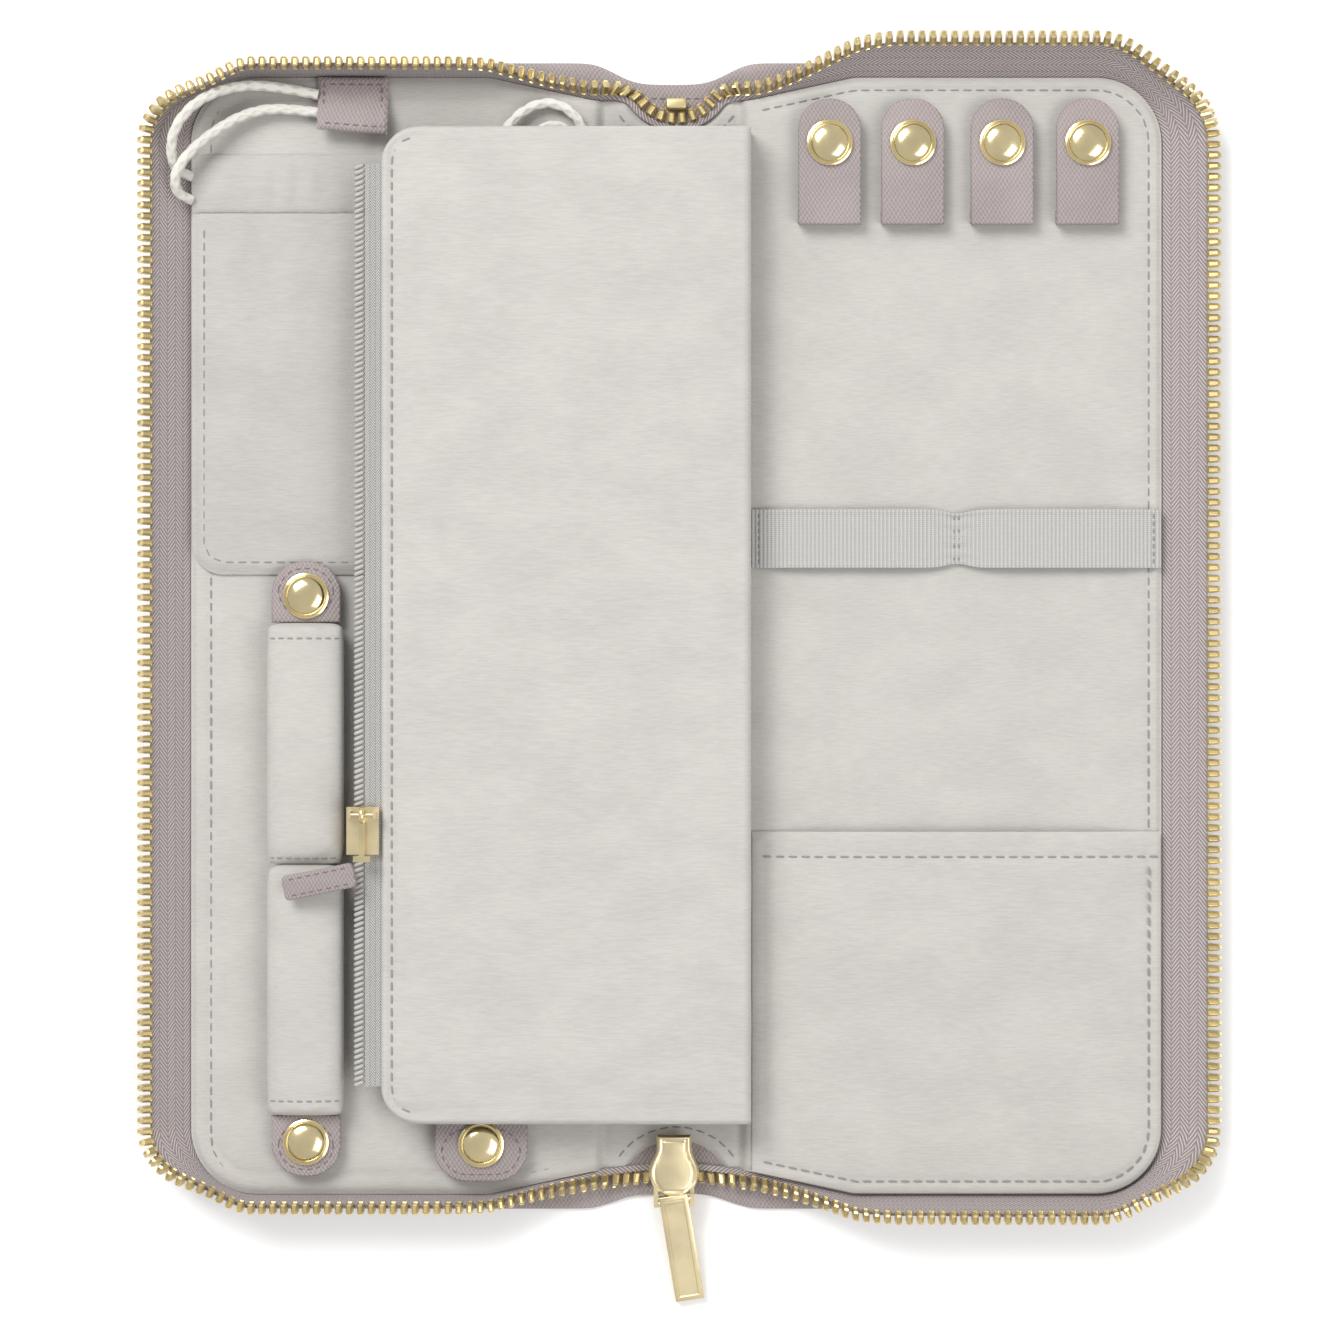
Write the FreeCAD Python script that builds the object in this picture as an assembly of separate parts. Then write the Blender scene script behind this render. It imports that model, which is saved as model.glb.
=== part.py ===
"""Zip-around travel jewelry case, lying open and flat.

Frame: millimetres, +Z up, the underside of the leather is z = 0. The origin is the middle of the
spine's underside, +Y points to the case's top edge and +X to the cover that carries the necklace tabs.
Every sub-part is written to parts/NAME.step.
"""
import FreeCAD, Part
import os
from math import atan2, cos, degrees, pi, sin, sqrt, tan

V = FreeCAD.Vector

# ---------------------------------------------------------------- overall sizes
case_height = 244.0          # leather, top edge to bottom edge
right_cover_width = 91.5     # fold line to the free edge of the leather
left_cover_width = 89.5
right_fold_x = 14.0          # fold between the spine and the right cover
spine_width = 29.0           # fold line to fold line
cover_corner = 18.0          # leather's corner radius

# ---------------------------------------------------------------- layers
leather_t = 1.0
board_t = 1.2
lining_t = 1.2
spine_lining_t = 0.8
leather_gap = 0.5            # half of the crease left between two leather panels
cover_setback = 2.2          # fold line to a cover's board and lining
spine_setback = 1.6          # fold line to the spine's lining
lining_inset_x = 1.9         # leather's free edge to the lining's edge
lining_inset_y = 3.4
lining_corner = 14.0
shoulder_run = 22.0          # the lining's edge falls away over this length next to a fold
shoulder_drop = 4.8
board_inset = 3.0            # lining's edge to the board's edge
spread_gap = 0.3             # gap kept between soft pieces that lie beside each other
layer_gap = 0.05             # clear of the layer underneath

# ---------------------------------------------------------------- main zip
tape_width = 9.6             # sewn edge to the teeth
tape_t = 0.7
tape_lift = 0.1              # leather to the sewn edge of the tape
tape_base_width = 1.6        # what is left of the tape where it dives to the fold
teeth_width = 2.8
teeth_t = 2.4
right_side_reach = 9.2       # how far out the tape leans, along each edge of each cover
right_top_reach = 6.0
right_bottom_reach = 3.0
left_side_reach = 7.6
left_top_reach = 1.2
left_bottom_reach = 1.2
corner_pull = 3.0            # how much a tight tape cuts across a corner
tape_rise_run = 30.0         # length over which the tape rises from the fold
rim_start = 4.0              # fold line to the first tooth on a cover
notch_radius = 12.2          # arc cut from the spine's lining at each end
notch_x = 0.5
notch_inset = 2.5            # leather's end edge to the middle of the notch's arc
notch_teeth_radius = 8.2
notch_tape_radius = 10.7
notch_trim = 3.6             # last tooth on the spine to the fold line
notch_tape_gap = 0.2         # lining's notch to the tape round it
notch_teeth_t = 2.2
notch_end_rise = 1.4         # how far the notch's zip runs past the spine lining's end
stop_width = 4.4
stop_length = 2.4
stop_t = 2.55
stop_overlap = 0.5
bottom_teeth_inset = 6.6     # leather's bottom edge to the spine's lower teeth

# ---------------------------------------------------------------- main slider
slider_x = 0.0
slider_inset = 10.2          # leather's bottom edge to the middle of the slider
slider_length = 12.0
slider_waist = 7.4
slider_shoulder = 10.8
slider_plate_t = 0.8
slider_gap = 2.7             # room between the plates for the teeth
slider_cap_t = 1.5
slider_post_width = 2.4
slider_post_length = 4.0
slider_arm_t = 0.9
slider_arm_length = 2.6
slider_ear_reach = 1.0       # round the pin, behind it
slider_ear_rise = 0.9        # round the pin, above it
pin_from_foot = 2.0
pull_length = 22.0
pull_width = 6.2
pull_t = 1.6
pull_turn = 9.0              # degrees that the pull lies off the slider's line
pin_radius = 0.75
pin_clear = 0.3

# ---------------------------------------------------------------- snaps
tab_t = 1.4
tab_lift = 2.0               # lining to the underside of a snapped tab
cap_radius = 4.75
cap_height = 1.8
cap_rim_t = 0.6
cap_dome_share = 0.8         # dome's radius as a share of the cap's
socket_radius = 4.2
socket_bore = 2.4
stud_radius = 1.6
stud_flange_radius = 3.9
stud_flange_t = 0.4
socket_clear = 0.1
stud_clear = 0.25

# ---------------------------------------------------------------- necklace tabs
necklace_tab_count = 4
necklace_tab_width = 13.3
necklace_tab_length = 26.6
necklace_tab_xs = (32.9, 50.5, 69.4, 87.5)
necklace_tab_hinge_y = 87.0
necklace_cap_from_hinge = 17.2
anchor_width = 2.6

# ---------------------------------------------------------------- right cover furniture
elastic_y = 20.6
elastic_width = 12.4
elastic_t = 1.0
elastic_arch = 1.2
elastic_sewn = 3.0
elastic_slope = 5.0
pocket_top_y = -41.5
pocket_gap = 2.0
pocket_t = 1.0
pocket_side_inset = 0.4
pocket_seam = 2.4

# ---------------------------------------------------------------- left cover furniture
pouch_top_y = 102.0
pouch_bottom_y = 13.0
pouch_width = 78.2
pouch_layer_t = 0.6
pouch_corner = 6.5
pouch_seam = 1.5
channel_height = 12.5
channel_t = 1.6
keeper_left_x = -75.4
keeper_width = 14.8
keeper_top_y = 118.4
keeper_length = 12.6
keeper_raise = 3.0
keeper_wall = 1.2
keeper_seam = 0.9
cord_diameter = 2.2
bar_x = -77.8
bar_width = 16.5
bar_height = 7.4
bar_clear = 0.4
bar_seam_y = -48.1
bar_top_y = 2.8
bar_bottom_y = -101.4
bar_fixed_up = 9.8           # sewn middle above and below its seam
bar_fixed_down = 8.0
bar_joint_gap = 0.4
end_tab_width = 14.6
end_tab_length = 12.9
end_cap_from_root = 5.6
bracelet_x = -40.8
bracelet_width = 19.6
bracelet_hinge_y = -102.8
bracelet_tab_length = 12.6
bracelet_cap_from_root = 4.7
bracelet_strap_length = 94.0
bracelet_joint_gap = 1.2
bracelet_strap_t = 1.6
bracelet_root_length = 6.0
bar_fillet = 3.0

# ---------------------------------------------------------------- leaf
leaf_pivot_gap = 2.0         # right fold line to the leaf's binding cord
leaf_mid_z = 12.0
leaf_t = 4.0
leaf_panel_t = 1.1
binding_strip_width = 12.0   # binding cord to the line where the leaf turns
leaf_turn_gap = 0.3          # binding strip to the leaf's panels
leaf_width = 77.5            # binding cord to the free edge of the panels
leaf_top_y = 107.0
leaf_bottom_y = -102.6
leaf_corner = 8.0
leaf_seam = 2.0
binding_radius = 0.4
stand_t = 0.5
zip_tape_t = 0.6
zip_tape_width = 4.4
coil_width = 2.4
coil_t = 2.2
leaf_slider_y = -40.9
leaf_slider_length = 10.0
leaf_slider_wall = 1.0
leaf_slider_clear = 0.3
link_wire = 0.6
link_length = 8.6
link_width = 3.6
leaf_pull_length = 15.6
leaf_pull_width = 5.2
leaf_pull_t = 1.6
leaf_pull_drop = 2.6
leaf_pull_turn = 12.0        # degrees off square to the zip
link_eye_radius = 1.3
link_pin_radius = 0.5
bridge_wall = 0.8
bridge_reach = 1.6           # slider's end to the bridge's pin
binding_web = 1.2

# ---------------------------------------------------------------- worked out from the sizes above
half_height = case_height / 2
notch_y = half_height - notch_inset
bottom_teeth_y = bottom_teeth_inset - half_height
slider_y = slider_inset - half_height
left_fold_x = right_fold_x - spine_width
right_edge_x = right_fold_x + right_cover_width
left_edge_x = left_fold_x - left_cover_width
lining_top = leather_t + board_t + lining_t
right_lining_x = right_edge_x - lining_inset_x
left_lining_x = left_edge_x + lining_inset_x
lining_half_y = half_height - lining_inset_y
tab_z = lining_top + tab_lift
pivot_x = right_fold_x + leaf_pivot_gap
leaf_free_x = pivot_x - leaf_width
bar_z = lining_top + bar_clear


def save(name, shape):
    """Write one sub-part as parts/NAME.step."""
    shape.exportStep(os.path.join("parts", name + ".step"))


def box(x0, x1, y0, y1, z0, z1):
    """A block between two corners."""
    return Part.makeBox(x1 - x0, y1 - y0, z1 - z0, V(x0, y0, z0))


def rounded_wire(corners, z):
    """A closed outline at height z through (x, y, radius) corners, each rounded by a tangent arc."""
    edges = []
    runs = []
    count = len(corners)
    for i, (x, y, r) in enumerate(corners):
        here = V(x, y, z)
        before = corners[i - 1]
        after = corners[(i + 1) % count]
        to_before = (V(before[0], before[1], z) - here).normalize()
        to_after = (V(after[0], after[1], z) - here).normalize()
        if r == 0:
            runs.append((here, None, here))
            continue
        half = to_before.getAngle(to_after) / 2
        back = r / tan(half)
        centre = here + (to_before + to_after).normalize() * (r / sin(half))
        middle = centre + (here - centre).normalize() * r
        runs.append((here + to_before * back, middle, here + to_after * back))
    for i, (start, middle, end) in enumerate(runs):
        if middle is not None:
            edges.append(Part.Arc(start, middle, end).toShape())
        following = runs[(i + 1) % count][0]
        if (following - end).Length > 1e-6:
            edges.append(Part.LineSegment(end, following).toShape())
    return Part.Wire(edges)


def plate(corners, z0, z1):
    """A flat plate with the outline of rounded_wire."""
    return Part.Face(rounded_wire(corners, z0)).extrude(V(0, 0, z1 - z0))


def loft(sections):
    """A ruled solid through closed four-sided sections, each given as four points."""
    wires = [Part.makePolygon(list(points) + [points[0]]) for points in sections]
    return Part.makeLoft(wires, True, True)


def smooth(x):
    """A smooth step from 0 at x = 0 to 1 at x = 1."""
    x = min(max(x, 0.0), 1.0)
    return x * x * (3 - 2 * x)


# ---------------------------------------------------------------- covers and spine
def cover_leather(fold_x, edge_x):
    """The outer leather of a cover, rounded at its two free corners."""
    side = 1 if edge_x > fold_x else -1
    start = fold_x + side * leather_gap
    return plate([(start, -half_height, 0), (edge_x, -half_height, cover_corner),
                  (edge_x, half_height, cover_corner), (start, half_height, 0)], 0, leather_t)


def lining_corners(fold_x, edge_x, inset):
    """Corners of a cover's lining, drawn in by an inset on every side but the fold's."""
    side = 1 if edge_x > fold_x else -1
    start = fold_x + side * cover_setback
    edge = edge_x - side * (lining_inset_x + inset)
    top = lining_half_y - inset
    radius = lining_corner - inset
    return [(start, -top + shoulder_drop, 0), (start + side * shoulder_run, -top, 0),
            (edge, -top, radius), (edge, top, radius),
            (start + side * shoulder_run, top, 0), (start, top - shoulder_drop, 0)]


def cover_board(fold_x, edge_x):
    """The stiffening board, hidden between leather and lining."""
    return plate(lining_corners(fold_x, edge_x, board_inset), leather_t, leather_t + board_t)


def cover_lining(fold_x, edge_x):
    """The padded lining panel, laid on the board."""
    return plate(lining_corners(fold_x, edge_x, 0), leather_t + board_t, lining_top)


def spine_leather():
    """The outer leather of the spine."""
    return box(left_fold_x + leather_gap, right_fold_x - leather_gap,
               -half_height, half_height, 0, leather_t)


def spine_lining():
    """The spine's lining, with a round notch at each end where the zip turns in."""
    drop = lining_half_y - shoulder_drop
    panel = box(left_fold_x + spine_setback, right_fold_x - spine_setback,
                -drop, drop, leather_t, leather_t + spine_lining_t)
    for y in (notch_y, -notch_y):
        panel = panel.cut(Part.makeCylinder(notch_radius, 10, V(notch_x, y, 0)))
    return panel


# ---------------------------------------------------------------- main zip
def rim_stations(fold_x, edge_x):
    """Points along the lining's free edge with outward normals, from the top fold to the bottom fold."""
    side = 1 if edge_x > fold_x else -1
    start = fold_x + side * rim_start
    shoulder = fold_x + side * (cover_setback + shoulder_run)
    edge = edge_x - side * lining_inset_x
    bend_x = edge - side * lining_corner
    bend_y = lining_half_y - lining_corner
    slope = shoulder_drop / shoulder_run
    upper = []
    for step in range(4):
        x = start + (shoulder - start) * step / 4
        upper.append((x, lining_half_y - abs(shoulder - x) * slope, 0.0, 1.0))
    for step in range(6):
        upper.append((shoulder + (bend_x - shoulder) * step / 6, lining_half_y, 0.0, 1.0))
    for step in range(8):
        turn = pi / 2 * step / 8
        upper.append((bend_x + side * lining_corner * sin(turn), bend_y + lining_corner * cos(turn),
                      side * sin(turn), cos(turn)))
    upper.append((edge, bend_y, float(side), 0.0))
    lower = [(x, -y, nx, -ny) for x, y, nx, ny in reversed(upper)]
    return upper + lower


def rim_lean(station, fold_x, reaches):
    """How the tape stands at one station: sewn edge, direction through it, direction up it, width."""
    x, y, nx, ny = station
    side_reach, top_reach, bottom_reach = reaches
    end_reach = top_reach if ny > 0 else bottom_reach
    full = side_reach * nx ** 2 + end_reach * ny ** 2 - corner_pull * (2 * nx * ny) ** 2
    lift = smooth((abs(x - fold_x) - rim_start) / tape_rise_run)
    width = tape_base_width + (tape_width - tape_base_width) * lift
    reach = 1.0 + (full - 1.0) * lift
    rise = sqrt(width ** 2 - reach ** 2)
    direction = V(nx * reach, ny * reach, rise).normalize()
    outward = V(nx, ny, 0)
    across = (outward - direction * outward.dot(direction)).normalize()
    base = V(x + nx * spread_gap, y + ny * spread_gap, leather_t + tape_lift - across.z * tape_t)
    return base, across, direction, width


def rim_strip(fold_x, edge_x, reaches, first, last, thickness):
    """A strip that stands round a cover, from a distance first to a distance last up the tape.

    A last of None runs to the end of the tape, and a first of None starts there.
    """
    sections = []
    for station in rim_stations(fold_x, edge_x):
        base, across, direction, width = rim_lean(station, fold_x, reaches)
        low = width if first is None else first
        high = width if last is None else width + last
        shift = across * (tape_t / 2)
        inner = base + direction * low + shift - across * (thickness / 2)
        outer = inner + across * thickness
        rise = direction * (high - low)
        sections.append((inner, outer, outer + rise, inner + rise))
    return loft(sections)


def arc_band(y, inner, outer, z0, z1, end_y):
    """A flat band round a spine notch, cut off short of both folds and at the height end_y."""
    band = Part.makeCylinder(outer, z1 - z0, V(notch_x, y, z0))
    band = band.cut(Part.makeCylinder(inner, z1 - z0, V(notch_x, y, z0)))
    window = box(left_fold_x + notch_trim, right_fold_x - notch_trim,
                 min(end_y, 0), max(end_y, 0), z0, z1)
    return band.common(window)


def bottom_tape():
    """The tape round the bottom notch, cut away where the slider stands."""
    low = leather_t + layer_gap
    end_y = bottom_teeth_y + teeth_t / 2 + tape_lift
    band = arc_band(-notch_y, notch_tape_radius, notch_radius - notch_tape_gap, low, low + tape_t, end_y)
    half = slider_shoulder / 2
    return band.cut(box(slider_x - half, slider_x + half, -notch_y, 0, 0, low + tape_t))


def top_stop():
    """The metal clip that closes the zip's end in the middle of the top notch."""
    y = notch_y - notch_teeth_radius + stop_overlap
    low = leather_t + layer_gap
    return box(notch_x - stop_width / 2, notch_x + stop_width / 2, y, y + stop_length, low, low + stop_t)


def straight_teeth(x0, x1):
    """A short row of teeth between the main slider and a fold."""
    return box(x0, x1, bottom_teeth_y - teeth_t / 2, bottom_teeth_y + teeth_t / 2,
               leather_t + layer_gap, leather_t + layer_gap + notch_teeth_t)


# ---------------------------------------------------------------- main slider
def bell_corners(scale):
    """Outline of the slider seen from above: a narrow straight end, full shoulders and a round foot."""
    waist = slider_waist / 2 * scale
    shoulder = slider_shoulder / 2 * scale
    top = slider_y + slider_length / 2 * scale
    foot = slider_y - slider_length / 2 * scale
    return [(slider_x - waist, top, 0.4), (slider_x + waist, top, 0.4),
            (slider_x + waist, top - 3.6 * scale, 3.0), (slider_x + shoulder, foot + 4.6 * scale, 2.4),
            (slider_x + waist * 0.62, foot, 2.6), (slider_x - waist * 0.62, foot, 2.6),
            (slider_x - shoulder, foot + 4.6 * scale, 2.4), (slider_x - waist, top - 3.6 * scale, 3.0)]


slider_base_z = leather_t + layer_gap
slider_top_z = slider_base_z + 2 * slider_plate_t + slider_gap
slider_foot_y = slider_y - slider_length / 2
post_top_y = notch_radius - notch_y - 0.5
pull_pin_y = slider_foot_y - pin_from_foot
pull_pin_z = slider_top_z + layer_gap


def slider_body():
    """Two plates joined by the post that parts the teeth, with two arms that hold the pull's pin."""
    inside_notch = Part.makeCylinder(notch_radius - 0.3, slider_top_z, V(notch_x, -notch_y, 0))
    lower = plate(bell_corners(0.92), slider_base_z, slider_base_z + slider_plate_t).common(inside_notch)
    upper = plate(bell_corners(0.92), slider_top_z - slider_plate_t, slider_top_z)
    half_post = slider_post_width / 2
    post = box(slider_x - half_post, slider_x + half_post, post_top_y - slider_post_length, post_top_y,
               slider_base_z, slider_top_z)
    body = lower.fuse([upper, post])
    half_arm = slider_arm_t / 2
    arm_start = slider_foot_y - spread_gap
    for side in (-1, 1):
        arm_x = slider_x + side * (pull_width / 2 + pin_clear + half_arm)
        arm = box(arm_x - half_arm, arm_x + half_arm, arm_start, slider_foot_y + slider_arm_length,
                  slider_top_z - slider_plate_t, slider_top_z)
        ear = box(arm_x - half_arm, arm_x + half_arm, pull_pin_y - slider_ear_reach, arm_start,
                  slider_top_z - slider_plate_t, pull_pin_z + slider_ear_rise)
        body = body.fuse([arm, ear])
    return body.removeSplitter()


def pull_frame():
    """The turned frame of the pull: its pin's centre, the way it points, and its tilt down to the table."""
    down = atan2(pull_pin_z - pull_t / 2 - 0.2, pull_length)
    return V(slider_x, pull_pin_y, pull_pin_z), down


def slider_pin():
    """The cross pin that the pull swings on."""
    half = pull_width / 2 + pin_clear + slider_arm_t
    pin = Part.makeCylinder(pin_radius, 2 * half, V(-half, 0, 0), V(1, 0, 0))
    pin.rotate(V(0, 0, 0), V(0, 0, 1), pull_turn)
    pin.translate(V(slider_x, pull_pin_y, pull_pin_z))
    return pin


def slider_pull():
    """A plain bar with a round eye at its top for the pin."""
    centre, down = pull_frame()
    half = pull_width / 2
    bar = box(-half, half, -pull_length, 0, -pull_t / 2, pull_t / 2)
    eye = Part.makeCylinder(pull_t * 0.95, pull_width, V(-half, 0, 0), V(1, 0, 0))
    hole = Part.makeCylinder(pin_radius + pin_clear / 3, pull_width + 2, V(-half - 1, 0, 0), V(1, 0, 0))
    bar = bar.fuse(eye).cut(hole).removeSplitter()
    bar.rotate(V(0, 0, 0), V(1, 0, 0), degrees(down))
    bar.rotate(V(0, 0, 0), V(0, 0, 1), pull_turn)
    bar.translate(centre)
    return bar


# ---------------------------------------------------------------- snaps
def snap_cap(x, y, z):
    """The domed cap on a tab, with its flat rim."""
    rim = Part.makeCylinder(cap_radius, cap_rim_t, V(x, y, z))
    dome_height = cap_height - cap_rim_t
    dome_base = cap_radius * cap_dome_share
    sphere_radius = (dome_base ** 2 + dome_height ** 2) / (2 * dome_height)
    sphere = Part.makeSphere(sphere_radius, V(x, y, z + cap_height - sphere_radius))
    dome = sphere.common(Part.makeCylinder(dome_base, dome_height, V(x, y, z + cap_rim_t)))
    return rim.fuse(dome).removeSplitter()


def snap_socket(x, y):
    """The ring under a tab that closes over the stud."""
    low = lining_top + stud_flange_t + socket_clear
    ring = Part.makeCylinder(socket_radius, tab_z - low, V(x, y, low))
    return ring.cut(Part.makeCylinder(socket_bore, tab_z - low, V(x, y, low)))


def tab_snap(x, y):
    """The two halves of a snap that a tab carries: cap above the leather and socket below it."""
    return Part.makeCompound([snap_cap(x, y, tab_z + tab_t), snap_socket(x, y)])


def snap_stud(x, y):
    """The stud riveted through the lining, with its flange and post."""
    flange = Part.makeCylinder(stud_flange_radius, stud_flange_t, V(x, y, lining_top))
    height = tab_lift - stud_clear
    post = Part.makeCylinder(stud_radius, height, V(x, y, lining_top))
    return flange.fuse(post).removeSplitter()


# ---------------------------------------------------------------- right cover furniture
necklace_cap_y = necklace_tab_hinge_y + necklace_cap_from_hinge


def necklace_tab(x):
    """A leather tab, square at its folded end and round at the snap."""
    half = necklace_tab_width / 2
    low = necklace_tab_hinge_y
    high = necklace_tab_hinge_y + necklace_tab_length
    return plate([(x - half, low, 0), (x + half, low, 0), (x + half, high, half - 0.2),
                  (x - half, high, half - 0.2)], tab_z, tab_z + tab_t)


def necklace_anchor(x):
    """The sewn root of a necklace tab, under its folded end."""
    half = necklace_tab_width / 2
    low = necklace_tab_hinge_y + 0.4
    return box(x - half, x + half, low, low + anchor_width, lining_top, tab_z - 0.1)


def elastic_band():
    """An elastic strip sewn down at both ends and in the middle, so it stands in two low arches."""
    start = right_fold_x + cover_setback + spread_gap
    end = right_lining_x - spread_gap
    middle = (start + end) / 2
    low = lining_top
    lifted = lining_top + elastic_arch

    def arch(x0, x1):
        """Points along one span, from its first seam to its second."""
        return [(x0, low), (x0 + elastic_slope, lifted), (x1 - elastic_slope, lifted), (x1, low)]

    line = [(start, low)] + arch(start + elastic_sewn, middle - elastic_sewn / 2)
    line += arch(middle + elastic_sewn / 2, end - elastic_sewn) + [(end, low)]
    profile = [V(x, elastic_y - elastic_width / 2, z) for x, z in line]
    profile += [V(x, elastic_y - elastic_width / 2, z + elastic_t) for x, z in reversed(line)]
    face = Part.Face(Part.makePolygon(profile + [profile[0]]))
    return face.extrude(V(0, elastic_width, 0))


def pocket_panel():
    """The open-topped pocket: a cloth panel sewn down along three edges."""
    fold = right_fold_x + cover_setback + pocket_side_inset
    edge = right_lining_x - pocket_side_inset
    bottom = -lining_half_y + pocket_side_inset
    radius = lining_corner - pocket_side_inset
    corners = [(fold, bottom + shoulder_drop, 0), (fold + shoulder_run, bottom, 0),
               (edge, bottom, radius), (edge, pocket_top_y, 0), (fold, pocket_top_y, 0)]
    inner = [(fold + pocket_seam, bottom + shoulder_drop + pocket_seam, 0),
             (fold + shoulder_run, bottom + pocket_seam, 0),
             (edge - pocket_seam, bottom + pocket_seam, radius - pocket_seam),
             (edge - pocket_seam, pocket_top_y + 1, 0), (fold + pocket_seam, pocket_top_y + 1, 0)]
    whole = plate(corners, lining_top, lining_top + pocket_gap + pocket_t)
    return whole.cut(plate(inner, lining_top, lining_top + pocket_gap))


# ---------------------------------------------------------------- left cover furniture
pouch_left_x = left_lining_x + 0.4
pouch_right_x = pouch_left_x + pouch_width
channel_low_y = pouch_top_y - channel_height


def pouch_bag():
    """Two layers of cloth joined round three sides and open under the channel."""
    def ring(inset, top):
        """The pouch's outline drawn in by an inset."""
        radius = pouch_corner - inset
        return [(pouch_left_x + inset, pouch_bottom_y + inset, radius),
                (pouch_right_x - inset, pouch_bottom_y + inset, radius),
                (pouch_right_x - inset, top, 0), (pouch_left_x + inset, top, 0)]

    high = lining_top + channel_t
    bag = plate(ring(0, channel_low_y), lining_top, high)
    hollow = plate(ring(pouch_seam, channel_low_y + 1), lining_top + pouch_layer_t, high - pouch_layer_t)
    return bag.cut(hollow)


def pouch_channel():
    """The sewn channel along the pouch's mouth, which the drawcord runs through."""
    return box(pouch_left_x, pouch_right_x, channel_low_y, pouch_top_y,
               lining_top, lining_top + channel_t)


def cord_keeper():
    """A leather patch sewn over the cord's ends: a raised top on two side walls."""
    left = keeper_left_x
    right = keeper_left_x + keeper_width
    low = keeper_top_y - keeper_length
    z = lining_top + keeper_raise
    top = box(left, right, low, keeper_top_y, z, z + tab_t)
    right_wall = box(right - keeper_wall, right, low, keeper_top_y, lining_top, z)
    top_wall = box(left, right - keeper_wall, keeper_top_y - keeper_seam, keeper_top_y, lining_top, z)
    return top.fuse([right_wall, top_wall]).removeSplitter()


def tube(points, diameter, name):
    """A cord along straight runs joined by tangent arcs as large as the runs allow."""
    points = [V(*p) for p in points]
    runs = [(b - a).Length for a, b in zip(points, points[1:])]
    edges = []
    last = points[0]
    radii = []
    for i in range(1, len(points) - 1):
        back = (points[i - 1] - points[i]).normalize()
        on = (points[i + 1] - points[i]).normalize()
        half_turn = (pi - back.getAngle(on)) / 2
        cut = 0.45 * min(runs[i - 1], runs[i])
        radius = cut / tan(half_turn)
        radii.append(radius)
        start = points[i] + back * cut
        end = points[i] + on * cut
        towards = (back + on).normalize()
        middle = points[i] + towards * (radius / cos(half_turn) - radius)
        edges.append(Part.LineSegment(last, start).toShape())
        edges.append(Part.Arc(start, middle, end).toShape())
        last = end
    edges.append(Part.LineSegment(last, points[-1]).toShape())
    path = Part.Wire(edges)
    section = Part.Wire(Part.makeCircle(diameter / 2, points[0], points[1] - points[0]))
    cord = path.makePipeShell([section], True, False)
    expected = pi * diameter ** 2 / 4 * path.Length
    print(name, "length", round(path.Length, 1), "radii", [round(r, 1) for r in radii],
          "volume ratio", round(cord.Volume / expected, 4))
    return cord


cord_exit_x = pouch_left_x
outer_cord = [(cord_exit_x, 97.4, 4.8), (-105.2, 97.8, 6.6), (-106.2, 102.4, 9.8), (-104.6, 107.6, 12.0),
              (-99.8, 112.8, 11.6), (-92.8, 116.0, 8.4), (-84.6, 116.4, 6.2), (-75.4, 114.6, 5.1)]
inner_cord = [(cord_exit_x, 92.4, 4.8), (-105.0, 92.9, 6.8), (-105.4, 97.2, 9.8), (-102.2, 101.8, 9.6),
              (-97.4, 106.4, 7.6), (-91.0, 110.4, 6.2), (-83.6, 112.0, 5.4), (-75.4, 110.8, 5.0)]
loop_cord = [(pouch_right_x, 94.2, 4.8), (-20.6, 95.2, 4.9), (-18.4, 99.8, 4.9), (-18.4, 106.0, 4.9),
             (-21.6, 111.4, 4.9), (-27.2, 113.4, 4.9), (-32.8, 110.8, 5.4), (-36.8, 105.4, 6.6),
             (-39.6, 99.4, 6.8), (-37.8, 93.2, 6.8), (-31.6, 92.6, 6.8), (-29.6, 98.6, 6.8),
             (-30.6, 104.4, 6.2), (-27.0, 108.4, 5.2), (-22.4, 107.6, 4.9), (-21.2, 103.4, 4.9),
             (pouch_right_x, 100.6, 4.8)]


# ---------------------------------------------------------------- ring bar and bracelet strap
def padded_block(x0, x1, y0, y1, z0, z1, radius):
    """A padded bar with its long edges rounded."""
    block = box(x0, x1, y0, y1, z0, z1)
    long_edges = [e for e in block.Edges if abs(e.Vertexes[0].Point.y - e.Vertexes[1].Point.y) > 1]
    return block.makeFillet(radius, long_edges)


def bar_piece(y0, y1):
    """A stretch of the ring bar."""
    return padded_block(bar_x - bar_width / 2, bar_x + bar_width / 2, y0, y1,
                        bar_z, bar_z + bar_height, bar_fillet)


bar_upper_y = bar_seam_y + bar_fixed_up
bar_lower_y = bar_seam_y - bar_fixed_down
upper_cap_y = bar_top_y + end_cap_from_root
lower_cap_y = bar_bottom_y - end_cap_from_root
bracelet_cap_y = bracelet_hinge_y - bracelet_cap_from_root


def end_tab(x, root_y, length, width):
    """A leather end tab with a round end; a negative length points down the case."""
    half = width / 2
    tip = root_y + length
    return plate([(x - half, root_y, 0), (x - half, tip, half - 0.6),
                  (x + half, tip, half - 0.6), (x + half, root_y, 0)], tab_z, tab_z + tab_t)


def bracelet_strap():
    """The padded strap under the leaf, sewn down at its upper end."""
    half = bracelet_width / 2
    top = bracelet_hinge_y + bracelet_strap_length
    root = box(bracelet_x - half, bracelet_x + half, top - bracelet_root_length, top, lining_top, tab_z)
    strap = box(bracelet_x - half, bracelet_x + half, bracelet_hinge_y + bracelet_joint_gap, top,
                tab_z, tab_z + bracelet_strap_t)
    return strap.fuse(root).removeSplitter()


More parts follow.
